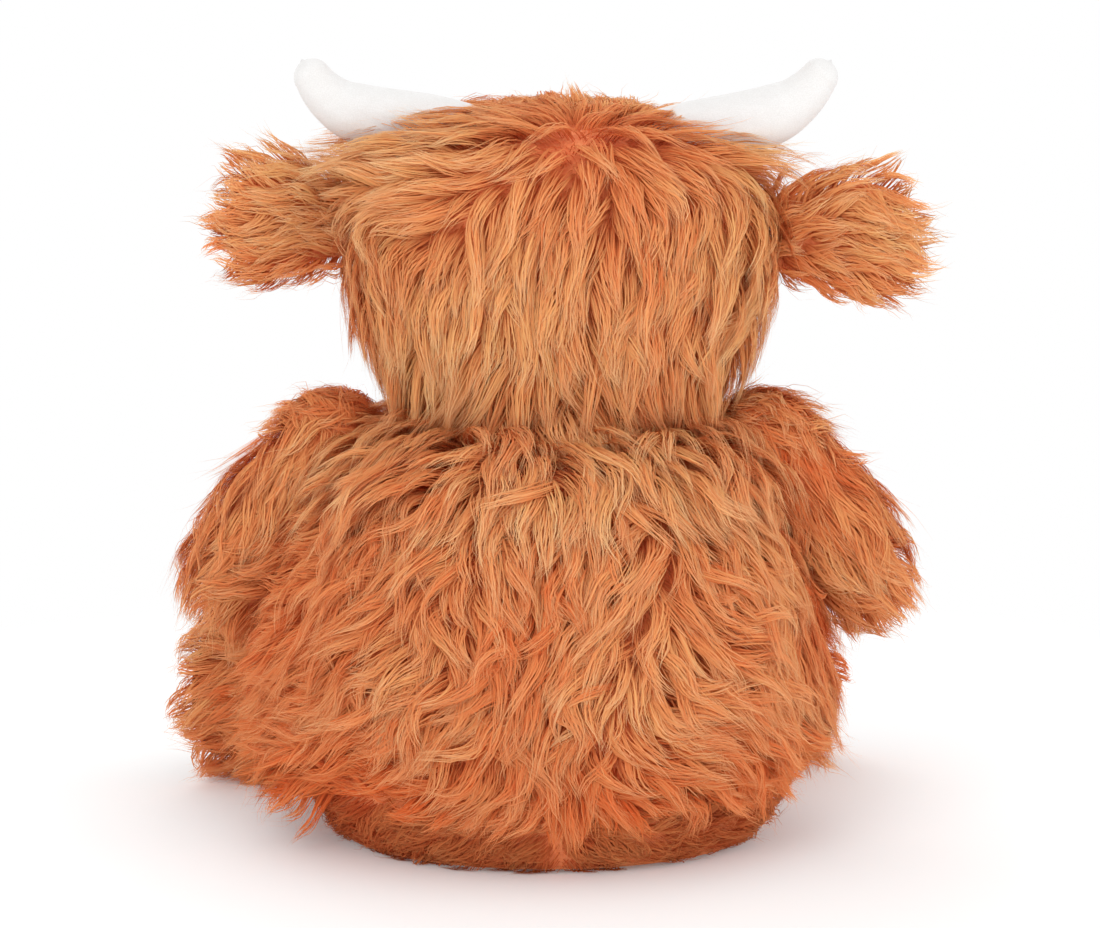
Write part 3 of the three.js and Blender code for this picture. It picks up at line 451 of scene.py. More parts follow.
def leg_form(name, side, inset):
    ball, radius = LEG_BALL - inset, LEG_RADIUS - inset
    rim = max(LEG_RADIUS - SOLE_RADIUS - inset, LEG_LEAST_RIM)
    end = LEG_LENGTH - SOLE_SINK
    back = arc(-QUARTER, LEG_BALL_END, 10, ball, ball)
    swell = [(radius * share, at) for share, at in LEG_SWELL]
    flank = spline([back[-1], *swell, (radius, end - rim)], 14)
    turn = arc(0, QUARTER, 5, rim, rim, (radius - rim, end - rim))
    profile = np.array(back + flank[1:] + turn[1:] + [(0, end)])
    profile[0, 0] = 0
    axes = frame_along(leg_axis(name, side), UP)
    return Form(profile, LEG_JOINT * (side, 1, 1), axes, floor=FLOOR_CLEARANCE)


def ear_axes(side):
    """Columns: the ear's width (up), its thickness (back for both ears) and its length."""
    along = np.array([side * math.cos(EAR_SWEEP), math.sin(EAR_SWEEP), 0])
    up = np.array([0, 0, 1.0])
    back = np.cross(along, up) * -side
    return tilt @ np.stack([up, back, along], axis=1)


def ear_joint(side):
    out = HEAD_WIDTH / 2 * head_share(EAR_RISE) - EAR_SINK
    return on_head((side * out, HEAD_CENTRE[1], EAR_RISE))


def ear_form(side, inset):
    half, length = EAR_WIDTH / 2, EAR_LENGTH[side]
    outline = EAR_ROOT + [(half * out, length * along) for out, along in EAR_OUTLINE]
    profile = inset_profile(spline(outline, 36) + [(0, length)], inset)
    return Form(profile, ear_joint(side), ear_axes(side), EAR_THICKNESS / EAR_WIDTH * EAR_FLATTENING)


# Hair.

MOST_STRANDS = 17500  # in one piece
STEPS = 7  # points along a strand
SHARES = np.linspace(0, 1, STEPS)
TAPER = np.array([0.75, 1.0, 1.0, 0.92, 0.78, 0.5])  # a ribbon's width at its points before the tip
LENGTH_RANGE = (0.65, 1.2)  # of a lock, against the length that its region asks for
RISE_RANGE = (0.7, 1.2)
ROOT_DEPTH = 0.001
ROOT_STAND = 0.6  # how steeply a lock leaves the cloth
LOOSE_LOCKS = 0.14  # the share of locks that stand off the coat
LOOSE_RISE = 0.4  # how far their tips do, as a share of their length
STRAY_STRANDS = 0.09  # the share of strands that leave their lock
STRAY_RISE = 0.004
STRAY_WIDTH = 0.4
SWIRL_SIZE = 0.085  # the reach of the waves that turn the lie of the hair
RIPPLE_SIZE = 0.03
SWIRL_SHARE = 0.7
RIPPLE_SHARE = 0.6
BEND_SHARE = 0.6  # of hook
LETTING_GO = 0.85  # how far hair whose lie points away from the cloth leaves it
LOCK_SIZE_RANGE = (0.8, 1.25)
CLOSE_RANGE = (0.6, 1.35)
CLOSE_SPREAD = 0.14
CLOSE_LIMITS = (0.05, 0.96)
WIDTH_RANGE = (0.45, 1.3)
PATCH_TONES = 0.09  # how far tones drift over the coat
PATCH_REACH = 0.07
LOCK_TONES = 0.07  # from lock to lock
STRAND_TONES = 0.06
DEPTH_PAINTED_SHADING = 0.07
MIDDLE_PAINTED_SHADING = 0.18
TONE_LIMITS = (0.04, 0.96)
CUT_RANGE = (0.6, 1.0)  # a strand's length, as a share of its lock's
STRAY_CUT_RANGE = (0.9, 1.15)
LAYER_HEIGHT = 0.0006  # between the strands that lie over each other in a lock
LOCK_HEIGHT = 0.0011  # of the middle of a lock over its sides
WAVE_SIZE = 0.0008
STRAY_WAVE_SIZE = 0.0014
ACROSS_LEAN = 0.35
RANDOM_LEAN = 0.22
LOCK_ROUNDNESS = 0.45  # how far the shading leans out at a lock's edges
RIBBON_SPAN = 0.022  # a ribbon's half width in its map


@dataclass
class Coat:
    """The locks of one region: where they grow, which way they lie, how long and how high they are.

    lie gives the direction of the hair at a point, length and rise are metres, and keep says which
    roots stay. avoid is a list of (form, clearance): hair is pushed out of those. curl, hook, spin and
    sway are angles by which locks leave the lie, in radians, and close is how far they narrow.
    """

    name: str
    form: Form
    body: str
    seed: int
    spacing: float
    lie: Callable
    length: Callable
    rise: Callable
    keep: Callable
    avoid: tuple = ()
    strands: int = 24
    lock_radius: float = 0.0050
    curl: float = 0.45
    hook: float = 0.3
    spin: float = 0.28
    sway: float = 0.3
    tone: object = 0.0  # one number, or a function of the roots
    width: float = 0.0005
    untidy: float = 1.0
    stiff: float = 0.35
    close: float = 0.56
    material: object = None
    slot: str = "ginger_coat"


def scatter(form, spacing, rng, keep):
    """Lock roots, spread so that no two are nearer than about spacing."""
    outline = form.profile
    length = np.linalg.norm(np.diff(outline, axis=0), axis=1)
    surface = (length * (outline[:-1, 0] + outline[1:, 0])).sum() * math.pi * (1 + form.flat) / 2
    tries = form.sample(int(7 * surface / spacing ** 2), rng)
    tries = tries[keep(tries)]
    taken = {}
    chosen = []
    cells = np.floor(tries / spacing).astype(int)
    near = [(i, j, k) for i in (-1, 0, 1) for j in (-1, 0, 1) for k in (-1, 0, 1)]
    limit = (0.82 * spacing) ** 2
    for n, (cell, p) in enumerate(zip(map(tuple, cells.tolist()), tries.tolist())):
        x, y, z = p
        free = True
        for i, j, k in near:
            for q in taken.get((cell[0] + i, cell[1] + j, cell[2] + k), ()):
                if (q[0] - x) ** 2 + (q[1] - y) ** 2 + (q[2] - z) ** 2 < limit:
                    free = False
                    break
            if not free:
                break
        if free:
            taken.setdefault(cell, []).append(p)
            chosen.append(n)
    return tries[chosen]


def grow_guides(coat, roots, rng):
    """One guide line per lock: (locks, STEPS, 3), and the form's normal at each point.

    The hair follows the cloth, but where its lie points away from the cloth it stands off freely.
    """
    form = coat.form
    count = len(roots)
    length = coat.length(roots) * rng.uniform(*LENGTH_RANGE, count)
    rise = coat.rise(roots) * rng.uniform(*RISE_RANGE, count)
    bend = rng.normal(0, BEND_SHARE * coat.hook, count)
    hook = rng.normal(0, coat.hook, count)
    spin = rng.normal(0, coat.spin, count)
    sway = rng.uniform(0, 2 * math.pi, count)
    swirl = Waves(coat.seed + 50, SWIRL_SIZE)
    ripple = Waves(coat.seed + 60, RIPPLE_SIZE)
    loose = np.where(rng.random(count) < LOOSE_LOCKS * coat.untidy, rng.uniform(0.2, 1.0, count), 0)
    points = np.empty((count, STEPS, 3))
    normals = np.empty((count, STEPS, 3))
    p = form.to_height(roots, np.full(count, -ROOT_DEPTH))
    n = form.normal(p)
    points[:, 0], normals[:, 0] = p, n
    way = None
    step = (length / (STEPS - 1))[:, None]
    for s in range(1, STEPS):
        share = s / (STEPS - 1)
        lie = unit(coat.lie(p))
        off = (lie * n).sum(axis=1, keepdims=True)
        hold = 1 - LETTING_GO * smooth_step(off, 0.1, 0.6)
        lie = unit(lie - n * off * np.where(off > 0, hold, 1))
        side = unit(np.cross(n, lie))
        angle = coat.curl * (SWIRL_SHARE * swirl(p) + RIPPLE_SHARE * ripple(p)) + spin
        angle = angle + bend * (share - 0.3) + hook * share ** 2 + coat.sway * np.sin(sway + 5 * share)
        ahead = lie * np.cos(angle)[:, None] + side * np.sin(angle)[:, None]
        if way is None:
            way = unit(ahead + ROOT_STAND * n)
        else:
            way = unit(way * coat.stiff + ahead * (1 - coat.stiff))
        q = p + way * step
        above, n = form.probe(q)
        lift = rise * (1 - (1 - min(1, share * 1.7)) ** 2) * (1 - 0.3 * share ** 3)
        lift = lift + loose * LOOSE_RISE * length * share ** 2.2
        gap = lift - above
        q = q + n * (gap * np.where(gap > 0, 1, hold[:, 0] * 0.9))[:, None]
        way = unit(q - p)
        p = q
        points[:, s], normals[:, s] = p, n
    return points, normals, length


def fan_out(coat, guide, normal, rng):
    """Where each strand runs across its lock, its angle and distance there, and how far it keeps out.

    A strand starts off to the side of its lock's root and closes in on its guide towards the tip.
    """
    locks, m = len(guide), coat.strands
    angle = rng.uniform(0, 2 * math.pi, (locks, m))
    out = np.sqrt(rng.random((locks, m))) * coat.lock_radius * rng.uniform(*LOCK_SIZE_RANGE, (locks, 1))
    across = unit(np.cross(normal[:, 0], unit(guide[:, 2] - guide[:, 0])))
    ahead = np.cross(across, normal[:, 0])
    place = (np.cos(angle) * out)[:, :, None] * across[:, None]
    place = place + (np.sin(angle) * out)[:, :, None] * ahead[:, None]
    close = coat.close * rng.uniform(*CLOSE_RANGE, (locks, 1, 1)) * np.ones((1, m, 1))
    close = np.clip(close + rng.normal(0, CLOSE_SPREAD, (locks, m, 1)), *CLOSE_LIMITS)
    spread = 1 - close * smooth_step(SHARES, 0.25, 1.05)[None, None]
    return place, angle, out, spread


def follow(guide, normal, length, cut):
    """Points along the guides for strands of their own lengths, and the normals there."""
    at = np.clip(SHARES[None, None] * cut[:, :, None], 0, 1) * (STEPS - 1)
    low = np.clip(np.floor(at).astype(int), 0, STEPS - 2)
    f = (at - low)[..., None]
    rows = np.arange(len(guide))[:, None, None]
    points = guide[rows, low] * (1 - f) + guide[rows, low + 1] * f
    norm = unit(normal[rows, low] * (1 - f) + normal[rows, low + 1] * f)
    past_end = np.clip(SHARES[None, None] * cut[:, :, None] - 1, 0, 1)
    tip_way = unit(guide[:, -1] - guide[:, -2])
    return points + past_end[..., None] * length[:, None, None, None] * tip_way[:, None, None], norm


def push_out(points, avoid):
    """Moves points out of the forms that the hair must not enter, more so towards its tips."""
    for form, clearance in avoid:
        for s in range(1, STEPS):
            above, way_out = form.probe(points[:, s])
            lift = np.maximum(clearance * s / (STEPS - 1) - above, 0)
            points[:, s] += way_out * lift[:, None]


def strand_tones(coat, roots, depth, middle, rng):
    """0 for the darkest strands and 1 for the lightest; painted light and shade make a lock lighter on its
    higher strands and in its middle, and darker low down and at its sides.
    """
    patches = Waves(coat.seed + 70, PATCH_REACH)(roots)[:, None]
    lock_tone = rng.normal(0, LOCK_TONES, (len(roots), 1)) + PATCH_TONES * patches
    shade = coat.tone(roots)[:, None] if callable(coat.tone) else coat.tone
    tone = 0.5 + shade + lock_tone + rng.normal(0, STRAND_TONES, depth.shape)
    # Painted light and shade: higher strands and a lock's middle lighter, lower strands and its sides darker.
    tone = tone + DEPTH_PAINTED_SHADING * depth + MIDDLE_PAINTED_SHADING * (middle - 0.6)
    return np.clip(tone.reshape(-1), *TONE_LIMITS)


def grow(coat):
    """The strands of a coat, as arrays of points, sideways directions, tones, widths, starts and normals."""
    rng = np.random.default_rng(coat.seed)
    roots = scatter(coat.form, coat.spacing, rng, coat.keep)
    guide, normal, length = grow_guides(coat, roots, rng)
    shape = (len(roots), coat.strands)
    place, angle, out, spread = fan_out(coat, guide, normal, rng)
    cut = rng.uniform(*CUT_RANGE, shape)
    stray = rng.random(shape) < STRAY_STRANDS * coat.untidy
    cut = np.where(stray, rng.uniform(*STRAY_CUT_RANGE, shape), cut)
    points, norm = follow(guide, normal, length, cut)
    points = points + place[:, :, None] * spread[..., None]
    # A lock is round: its outer strands lie lower at its sides, and its thickness fades to the tip.
    depth = np.clip(rng.normal(0, 1, shape), -2, 2)
    middle = 1 - (out / out.max()) ** 2
    layer = depth[..., None] * LAYER_HEIGHT * (1 - 0.6 * SHARES)[None, None]
    dome = middle[..., None] * LOCK_HEIGHT * np.sin(math.pi * np.clip(SHARES, 0, 1) ** 0.8)[None, None]
    points = points + norm * (layer + dome)[..., None]
    shading = unit(norm + place[:, :, None] / coat.lock_radius * LOCK_ROUNDNESS)
    # Waviness of the single strand.
    wave = rng.uniform(0, 2 * math.pi, (2, *shape, 1))
    size = (WAVE_SIZE + STRAY_WAVE_SIZE * stray)[..., None] * SHARES[None, None]
    size = size * rng.uniform(0.4, 1.6, (*shape, 1))
    along = unit(guide[:, 2] - guide[:, 0])
    cross = unit(np.cross(norm, np.broadcast_to(along[:, None, None], norm.shape)))
    points = points + cross * (np.sin(wave[0] + 8 * SHARES) * size)[..., None]
    lift = np.sin(wave[1] + 6 * SHARES) * size * 0.7 + stray[..., None] * SHARES ** 2 * STRAY_RISE
    points = points + norm * lift[..., None]
    points, norm, shading = (a.reshape(-1, STEPS, 3) for a in (points, norm, shading))
    push_out(points, coat.avoid)
    points[:, :, 2] = np.maximum(points[:, :, 2], FLOOR_CLEARANCE)
    press_in(points)
    # A ribbon's face leans with its place across the lock, so that a lock shades as a round bundle.
    lean = (np.cos(angle) * out / coat.lock_radius).reshape(-1) * ACROSS_LEAN
    lean = (lean + rng.normal(0, RANDOM_LEAN, len(points)))[:, None]
    ahead = unit(np.gradient(points, axis=1))
    side = unit(np.cross(norm, ahead))
    side = unit(side * np.cos(lean)[..., None] + np.cross(ahead, side) * np.sin(lean)[..., None])
    tone = strand_tones(coat, roots, depth, middle, rng)
    width = coat.width * rng.uniform(*WIDTH_RANGE, len(points))
    width = width * np.where(stray.reshape(-1), STRAY_WIDTH, 1)
    start = rng.uniform(0.0, 0.04, len(points))
    # The shading follows the lock rather than the single ribbon, and stays on the ribbon's own face.
    face = unit(np.cross(ahead, side))
    shading = unit(shading - ahead * (shading * ahead).sum(axis=2, keepdims=True) * 0.7)
    shading = unit(shading + face * np.maximum(0.25 - (shading * face).sum(axis=2, keepdims=True), 0))
    return points, side, tone, width, start, shading


def press_in(points):
    """Presses in, softly, the hair that would stand far outside the box of the solids."""
    level = points[..., :2]
    low, high = (np.asarray(corner)[:2] for corner in cad_box)
    for over, way in ((level - high, 1), (low - level, -1)):
        far = np.maximum(over - FREE_REACH, 0)
        level -= way * (far - PRESSED_REACH * np.tanh(far / PRESSED_REACH))


def strands_mesh(name, points, side, tone, width, start, shading):
    """Flat ribbons that taper to a point. Their UV map holds the share along the strand and its tone."""
    count = len(points)
    taper = TAPER[None, :, None] * width[:, None, None] / 2
    left = points[:, :-1] - side[:, :-1] * taper
    right = points[:, :-1] + side[:, :-1] * taper
    per = 2 * (STEPS - 1) + 1
    verts = np.empty((count, per, 3))
    verts[:, 0:-1:2] = left
    verts[:, 1:-1:2] = right
    verts[:, -1] = points[:, -1]
    verts[:, :, 2] = np.maximum(verts[:, :, 2], FLOOR_CLEARANCE / 2)
    loops = []
    for i in range(STEPS - 2):
        loops += [2 * i + 1, 2 * i, 2 * i + 2, 2 * i + 3]
    loops += [2 * (STEPS - 2) + 1, 2 * (STEPS - 2), per - 1]
    sizes = [4] * (STEPS - 2) + [3]
    loops = np.array(loops)
    index = (np.arange(count)[:, None] * per + loops[None]).reshape(-1)
    mesh = bpy.data.meshes.new(name)
    mesh.vertices.add(count * per)
    mesh.vertices.foreach_set("co", verts.astype(np.float32).reshape(-1))
    mesh.loops.add(len(index))
    mesh.loops.foreach_set("vertex_index", index.astype(np.int32))
    total = np.tile(sizes, count)
    mesh.polygons.add(len(total))
    firsts = np.concatenate([[0], np.cumsum(total)[:-1]])
    mesh.polygons.foreach_set("loop_start", firsts.astype(np.int32))
    mesh.polygons.foreach_set("loop_total", total.astype(np.int32))
    mesh.polygons.foreach_set("use_smooth", np.ones(len(total), bool))
    mesh.update(calc_edges=True)
    share = np.append(np.repeat(SHARES[:-1], 2), 1.0)
    half = np.append(np.tile([-1.0, 1.0], STEPS - 1), 0.0) * RIBBON_SPAN
    u = start[:, None] + (1 - start[:, None]) * share[None]
    v = tone[:, None] + half[None]
    uv = np.stack([np.clip(u, 0, 1), np.clip(v, 0, 1)], axis=2)
    layer = mesh.uv_layers.new(name="OFBake")
    layer.data.foreach_set("uv", uv[:, loops].astype(np.float32).reshape(-1))
    normals = np.concatenate([np.repeat(shading[:, :-1], 2, axis=1), shading[:, -1:]], axis=1)
    mesh.normals_split_custom_set_from_vertices(normals.reshape(-1, 3).tolist())
    piece = bpy.data.objects.new(name, mesh)
    bpy.context.scene.collection.objects.link(piece)
    return piece


# Materials.

def new_material(name):
    material = bpy.data.materials.new(name)
    material.use_nodes = True
    return material, material.node_tree, material.node_tree.nodes["Principled BSDF"]


def feed(tree, node, inputs):
    """Sets inputs of a node to values, or links them to the outputs of other nodes."""
    for key, value in inputs.items():
        if isinstance(value, bpy.types.NodeSocket):
            tree.links.new(value, node.inputs[key])
        else:
            node.inputs[key].default_value = value


def add_node(tree, kind, inputs=None, **settings):
    node = tree.nodes.new("ShaderNode" + kind)
    for key, value in settings.items():
        setattr(node, key, value)
    feed(tree, node, inputs or {})
    return node.outputs


def add_noise(tree, place, scale, detail):
    return add_node(tree, "TexNoise", {"Vector": place, "Scale": scale, "Detail": detail})["Fac"]


def add_bump(tree, height, strength, distance):
    return add_node(tree, "Bump", {"Height": height, "Strength": strength, "Distance": distance})["Normal"]


def linear(r, g, b):
    """A colour given as sRGB 0 to 255, as the shader takes it."""
    return tuple(c / 255 / 12.92 if c <= 10.31 else ((c / 255 + 0.055) / 1.055) ** 2.4 for c in (r, g, b))


def add_ramp(tree, share, stops):
    """The colour at a share between stops, each a place from 0 to 1 and an sRGB colour."""
    outputs = add_node(tree, "ValToRGB", {"Fac": share}, name="ramp")
    ramp = outputs["Color"].node.color_ramp
    ramp.interpolation = "EASE"
    while len(ramp.elements) < len(stops):
        ramp.elements.new(0.5)
    for element, (place, colour) in zip(ramp.elements, stops):
        element.position = place
        element.color = (*linear(*colour), 1)
    return outputs["Color"]


def mix_shaders(tree, share, first, second, end="Material Output"):
    """Ends a tree in a mix of two shaders, 0 for the first and 1 for the second."""
    mix = add_node(tree, "MixShader", {"Fac": share, 1: first[0], 2: second[0]})
    tree.links.new(mix[0], tree.nodes[end].inputs["Surface"])


FIBRES = 3  # streaks across half a ribbon
FIBRE_LENGTH = 1.2  # streaks along a strand
FIBRE_RELIEF = 0.0002
FIBRE_SHINE = 0.05
SEE_THROUGH = 0.3  # the share of light that passes through a hair rather than off it
HAIR_STOPS = (0.02, 0.5, 1.0)  # where a strand has its three colours
CLOTH_STOPS = (0.32, 0.68)
CLOTH_RELIEF = 0.0006
PATCH_SIZE = 14  # how much coarser a cloth's patches are than its grain


def hair_material(name, dark, light, roughness=0.62, streaks=0.42):
    """Colour from the strand's own map: along it from root to tip, between a dark and a light strand.

    dark and light hold three colours each: at the root, half-way and at the tip.
    """
    material, tree, shader = new_material(name)
    uv = add_node(tree, "UVMap", uv_map="OFBake")["UV"]
    split = add_node(tree, "SeparateXYZ", {"Vector": uv})
    stretch = {"Vector": uv, "Scale": (FIBRE_LENGTH, FIBRES / RIBBON_SPAN, 1)}
    fibres = add_noise(tree, add_node(tree, "Mapping", stretch)["Vector"], 1, 2)
    level = add_node(tree, "Math", {0: split["Y"], 1: -streaks / 2}, operation="ADD")["Value"]
    streak = add_node(tree, "Math", {0: fibres, 1: streaks, 2: level}, operation="MULTIPLY_ADD")["Value"]
    shades = [add_ramp(tree, split["X"], list(zip(HAIR_STOPS, colours))) for colours in (dark, light)]
    mixed = {"Factor": streak, "A": shades[0], "B": shades[1]}
    colour = add_node(tree, "Mix", mixed, data_type="RGBA")["Result"]
    feed(tree, shader, {"Base Color": colour, "Roughness": roughness, "Specular IOR Level": FIBRE_SHINE,
                        "Normal": add_bump(tree, fibres, 0.3, FIBRE_RELIEF)})
    through = add_node(tree, "BsdfTranslucent", {"Color": colour})
    mix_shaders(tree, SEE_THROUGH, shader.outputs, through)
    return material


def cloth_material(name, dark, light, scale, roughness, bump, sheen=0.0, speckle=0.35):
    """Short pile or knit: two tones mixed by fine noise over a coarser one, with a fine bump."""
    material, tree, shader = new_material(name)
    place = add_node(tree, "TexCoord")["Object"]
    fine = add_noise(tree, place, scale, 5)
    mixed = {"Factor": speckle, "A": add_noise(tree, place, scale / PATCH_SIZE, 3), "B": fine}
    share = add_node(tree, "Mix", mixed, data_type="FLOAT")["Result"]
    feed(tree, shader, {"Base Color": add_ramp(tree, share, list(zip(CLOTH_STOPS, (dark, light)))),
                        "Normal": add_bump(tree, fine, bump, CLOTH_RELIEF),
                        "Roughness": roughness, "Sheen Weight": sheen, "Sheen Roughness": 0.5})
    return material


HAIR = hair_material("ginger_hair",
                     ((216, 100, 52), (236, 113, 56), (238, 140, 78)),
                     ((236, 148, 92), (248, 193, 127), (253, 222, 170)))
# Darker hair for the seat: partly its own deeper colour, partly painted shade where the body turns under.
BASE_HAIR = hair_material("base_hair",
                          ((198, 86, 44), (194, 84, 42), (198, 102, 54)),
                          ((228, 132, 78), (226, 148, 90), (230, 170, 114)))
MUZZLE_HAIR = hair_material("muzzle_hair",
                            ((208, 172, 130), (234, 206, 166), (242, 220, 186)),
                            ((232, 204, 166), (248, 232, 204), (252, 241, 220)), 0.7)
UNDERCOAT = cloth_material("undercoat", (230, 122, 72), (244, 152, 98), 700, 0.95, 0.8)
VELOUR = cloth_material("horn_velour", (222, 220, 218), (232, 231, 230), 2600, 0.9, 0.3, 0.25, 0.8)
MUZZLE = cloth_material("muzzle_plush", (216, 184, 142), (240, 216, 180), 900, 0.95, 0.8, 0.3)
LINING = cloth_material("ear_plush", (206, 164, 124), (234, 198, 160), 900, 0.95, 0.8, 0.3)
SUEDE = cloth_material("sole_suede", (84, 54, 36), (116, 80, 54), 1200, 0.9, 0.6, 0.2)
EYE = cloth_material("eye_plastic", (14, 9, 7), (34, 22, 16), 60, 0.08, 0.0)
PLASTIC = cloth_material("washer_plastic", (222, 222, 218), (238, 238, 234), 500, 0.5, 0.1)
THREAD = cloth_material("stitch_thread", (66, 36, 24), (98, 60, 42), 2400, 0.6, 0.6)


# Camera, ground and light.

def look(obj, target):
    obj.rotation_euler = (Vector(target) - obj.location).to_track_quat("-Z", "Y").to_euler()


WHITE = (1, 1, 1, 1)
FLOOR_SHADE = (0.9, 0.9, 0.9, 1)
FLOOR_GLOW = 0.1
SHADOW_ENDS = (0.2, 0.5)  # from the middle, where the floor starts and ends its fade to plain white
SKY_STRENGTH = 0.96
LIT_PLACE = (0, 0, 0.15)  # what the lamps point at
SENSOR_WIDTH = 36  # mm
VIEW_HEIGHT = math.radians(9)
VIEW_DISTANCE = 1.6
MIDDLE = np.array([-0.0008, 0.0, 0.150])  # what the middle of the picture looks at
PICTURE_WIDTH = 0.440  # of the scene at the toy's depth

camera_data = bpy.data.cameras.new("camera")
camera = bpy.data.objects.new("camera", camera_data)
bpy.context.scene.collection.objects.link(camera)
view = VIEW_DISTANCE * np.array([0, math.cos(VIEW_HEIGHT), math.sin(VIEW_HEIGHT)])
camera.location = MIDDLE + view
look(camera, MIDDLE)
camera_data.sensor_width = SENSOR_WIDTH
camera_data.lens = SENSOR_WIDTH * VIEW_DISTANCE / PICTURE_WIDTH
camera_data.clip_start = 0.05
bpy.context.scene.camera = camera


def ground():
    """White ground: it takes the toy's shadow near it and is plain white further off."""
    floor = add_mesh("floor", [(-4, -4, 0), (4, -4, 0), (4, 4, 0), (-4, 4, 0)], [(0, 1, 2, 3)], smooth=False)
    material, tree, shader = new_material("floor")
    feed(tree, shader, {"Base Color": FLOOR_SHADE, "Roughness": 0.9, "Specular IOR Level": 0,
                        "Emission Color": WHITE, "Emission Strength": FLOOR_GLOW})
    place = add_node(tree, "TexCoord")["Object"]
    far = add_node(tree, "VectorMath", {0: place}, operation="LENGTH")["Value"]
    ends = {"Value": far, "From Min": SHADOW_ENDS[0], "From Max": SHADOW_ENDS[1]}
    fade = add_node(tree, "MapRange", ends)["Result"]
    seen = add_node(tree, "LightPath")["Is Camera Ray"]
    both = add_node(tree, "Math", {0: seen, 1: fade}, operation="MULTIPLY")["Value"]
    mix_shaders(tree, both, shader.outputs, add_node(tree, "Emission"))
    floor.data.materials.append(material)


def surroundings():
    """An even light from all round, which the camera sees as plain white."""
    world = bpy.data.worlds.new("studio")
    world.use_nodes = True
    tree = world.node_tree
    sky = tree.nodes["Background"]
    feed(tree, sky, {"Color": WHITE, "Strength": SKY_STRENGTH})
    white = add_node(tree, "Background", {"Color": WHITE, "Strength": 1.0})
    mix_shaders(tree, add_node(tree, "LightPath")["Is Camera Ray"], sky.outputs, white, "World Output")
    bpy.context.scene.world = world
    bpy.context.scene.view_settings.view_transform = "Standard"


def lamp(name, place, power, size):
    data = bpy.data.lights.new(name, "AREA")
    data.energy = power
    data.size = size
    obj = bpy.data.objects.new(name, data)
    bpy.context.scene.collection.objects.link(obj)
    obj.location = place
    look(obj, LIT_PLACE)


ground()
surroundings()
lamp("key", (0.7, 1.6, 1.0), 7.2, 1.0)
lamp("fill", (-1.2, 1.1, 0.6), 5, 1.2)
lamp("front", (0.5, -1.6, 1.2), 7, 1.2)


# The lie of the hair.

def head_lie(p):
    """Out from the whorl on the crown and along the ears' tops, then down; forwards over the brow."""
    q = in_head(p)
    x = q[:, 0] / (HEAD_WIDTH / 2)
    wide = smooth_step(np.abs(q[:, 0]), 0.020, 0.060)
    away = unit((q - WHORL) * (1, 1, 0.6))
    start = 0.102 + np.where(x > 0, -0.022, -0.004) * wide
    high = smooth_step(q[:, 2], start, start + 0.030 + 0.012 * wide)[:, None]
    brow = smooth_step(-q[:, 1], 0.0, 0.05) * smooth_step(q[:, 2], 0.08, 0.13)
    top = away * (1 - 0.6 * wide[:, None]) + ways(np.sign(x), 0, 0.34) * wide[:, None]
    lie = ways(0.10 * x, 0, -1) * (1 - high) + top * high
    return unit(lie + ways(0.2 * x, -1, -0.5) * (brow * 1.6)[:, None]) @ tilt.T


def body_lie(p):
    """Down the back, spreading to the sides, and swept outwards low on the flanks."""
    x = p[:, 0] / BODY_RADIUS
    low = 1 - smooth_step(p[:, 2], 0.03, 0.12)
    spread = ways(0.5 * x + np.where(x > 0, 0.8, 0.1) * x * low, 0.25 * p[:, 1] / 0.1, -1)
    back = smooth_step(p[:, 1], 0, 0.04)
    left = ways(1.0, 0.1, -0.15) * (spot(p, 0.078, 0.082, 0.046) * back * 1.7)[:, None]
    right = ways(-1.0, 0.1, -0.35) * (spot(p, -0.060, 0.070, 0.035) * back * 1.5)[:, None]
    seam = 1 - smooth_step(p[:, 2], SEAM_HEIGHT + 0.008, SEAM_HEIGHT + 0.034)
    sideways = ways(1.8 * np.clip((p[:, 0] - PARTING) / 0.045, -1, 1), 0, 0)
    lie = spread + left + right + sideways * (seam * back)[:, None]
    shoulder = smooth_step(p[:, 2], 0.115, 0.155)[:, None]
    return unit(lie) * (1 - shoulder) + collar_lie(p) * shoulder


def collar_lie(p):
    """Away from the neck and out to the shoulders, then down."""
    wide = smooth_step(np.abs(p[:, 0]), 0.010, 0.060) * np.sign(p[:, 0])
    out = unit((p - NECK) * (1, 1, 0)) + ways(1.4 * wide, 0, 0)
    return unit(unit(out) * (0.7 + 0.7 * np.abs(wide))[:, None] + DOWN)


def base_lie(p):
    """Round the seat, away from the middle of the back."""
    way = np.sign(p[:, 0] - PARTING)
    return unit(ways(way * p[:, 1], -way * p[:, 0], 0)) + DOWN * 0.25


def limb_lie(axis, joint, droop=0.45, crest=0.0):
    """Along a limb and down; at the top of its ball, outwards and up by crest."""
    level = unit(axis * (1, 1, 0))

    def lie(p):
        out = unit(p - joint - ((p - joint) @ axis)[:, None] * axis)
        top = crest * smooth_step(p[:, 2] - joint[2], 0.006, 0.022)[:, None]
        along = unit(np.broadcast_to(axis, p.shape) + 0.2 * out + DOWN * droop)
        return unit(along * (1 - top) + unit(level + np.array([0, 0.25, 0.3])) * top)
    return lie


def ear_lie(side):
    along = ear_axes(side)[:, 2]
    up = ear_axes(side)[:, 0]
    joint = ear_joint(side)

    def lie(p):
        rise = (p - joint) @ up / (EAR_WIDTH / 2)
        root = 1 - smooth_step((p - joint) @ along, 0.010, 0.035)
        lift = rise * np.where(rise > 0, 0.75 + 0.5 * root, 0.35)
        return unit(along + up * lift[:, None] + DOWN * 0.08)
    return lie


def steady(value):
    return lambda p: np.full(len(p), value)


# Which roots stay, and how long and high the hair is.

def in_head(p):
    return (p - NECK) @ tilt


def face_share(q):
    """1 on the face, 0 at the back and on the crown."""
    return smooth_step(-q[:, 1], 0.030, 0.055) * (1 - smooth_step(q[:, 2], 0.108, 0.128))


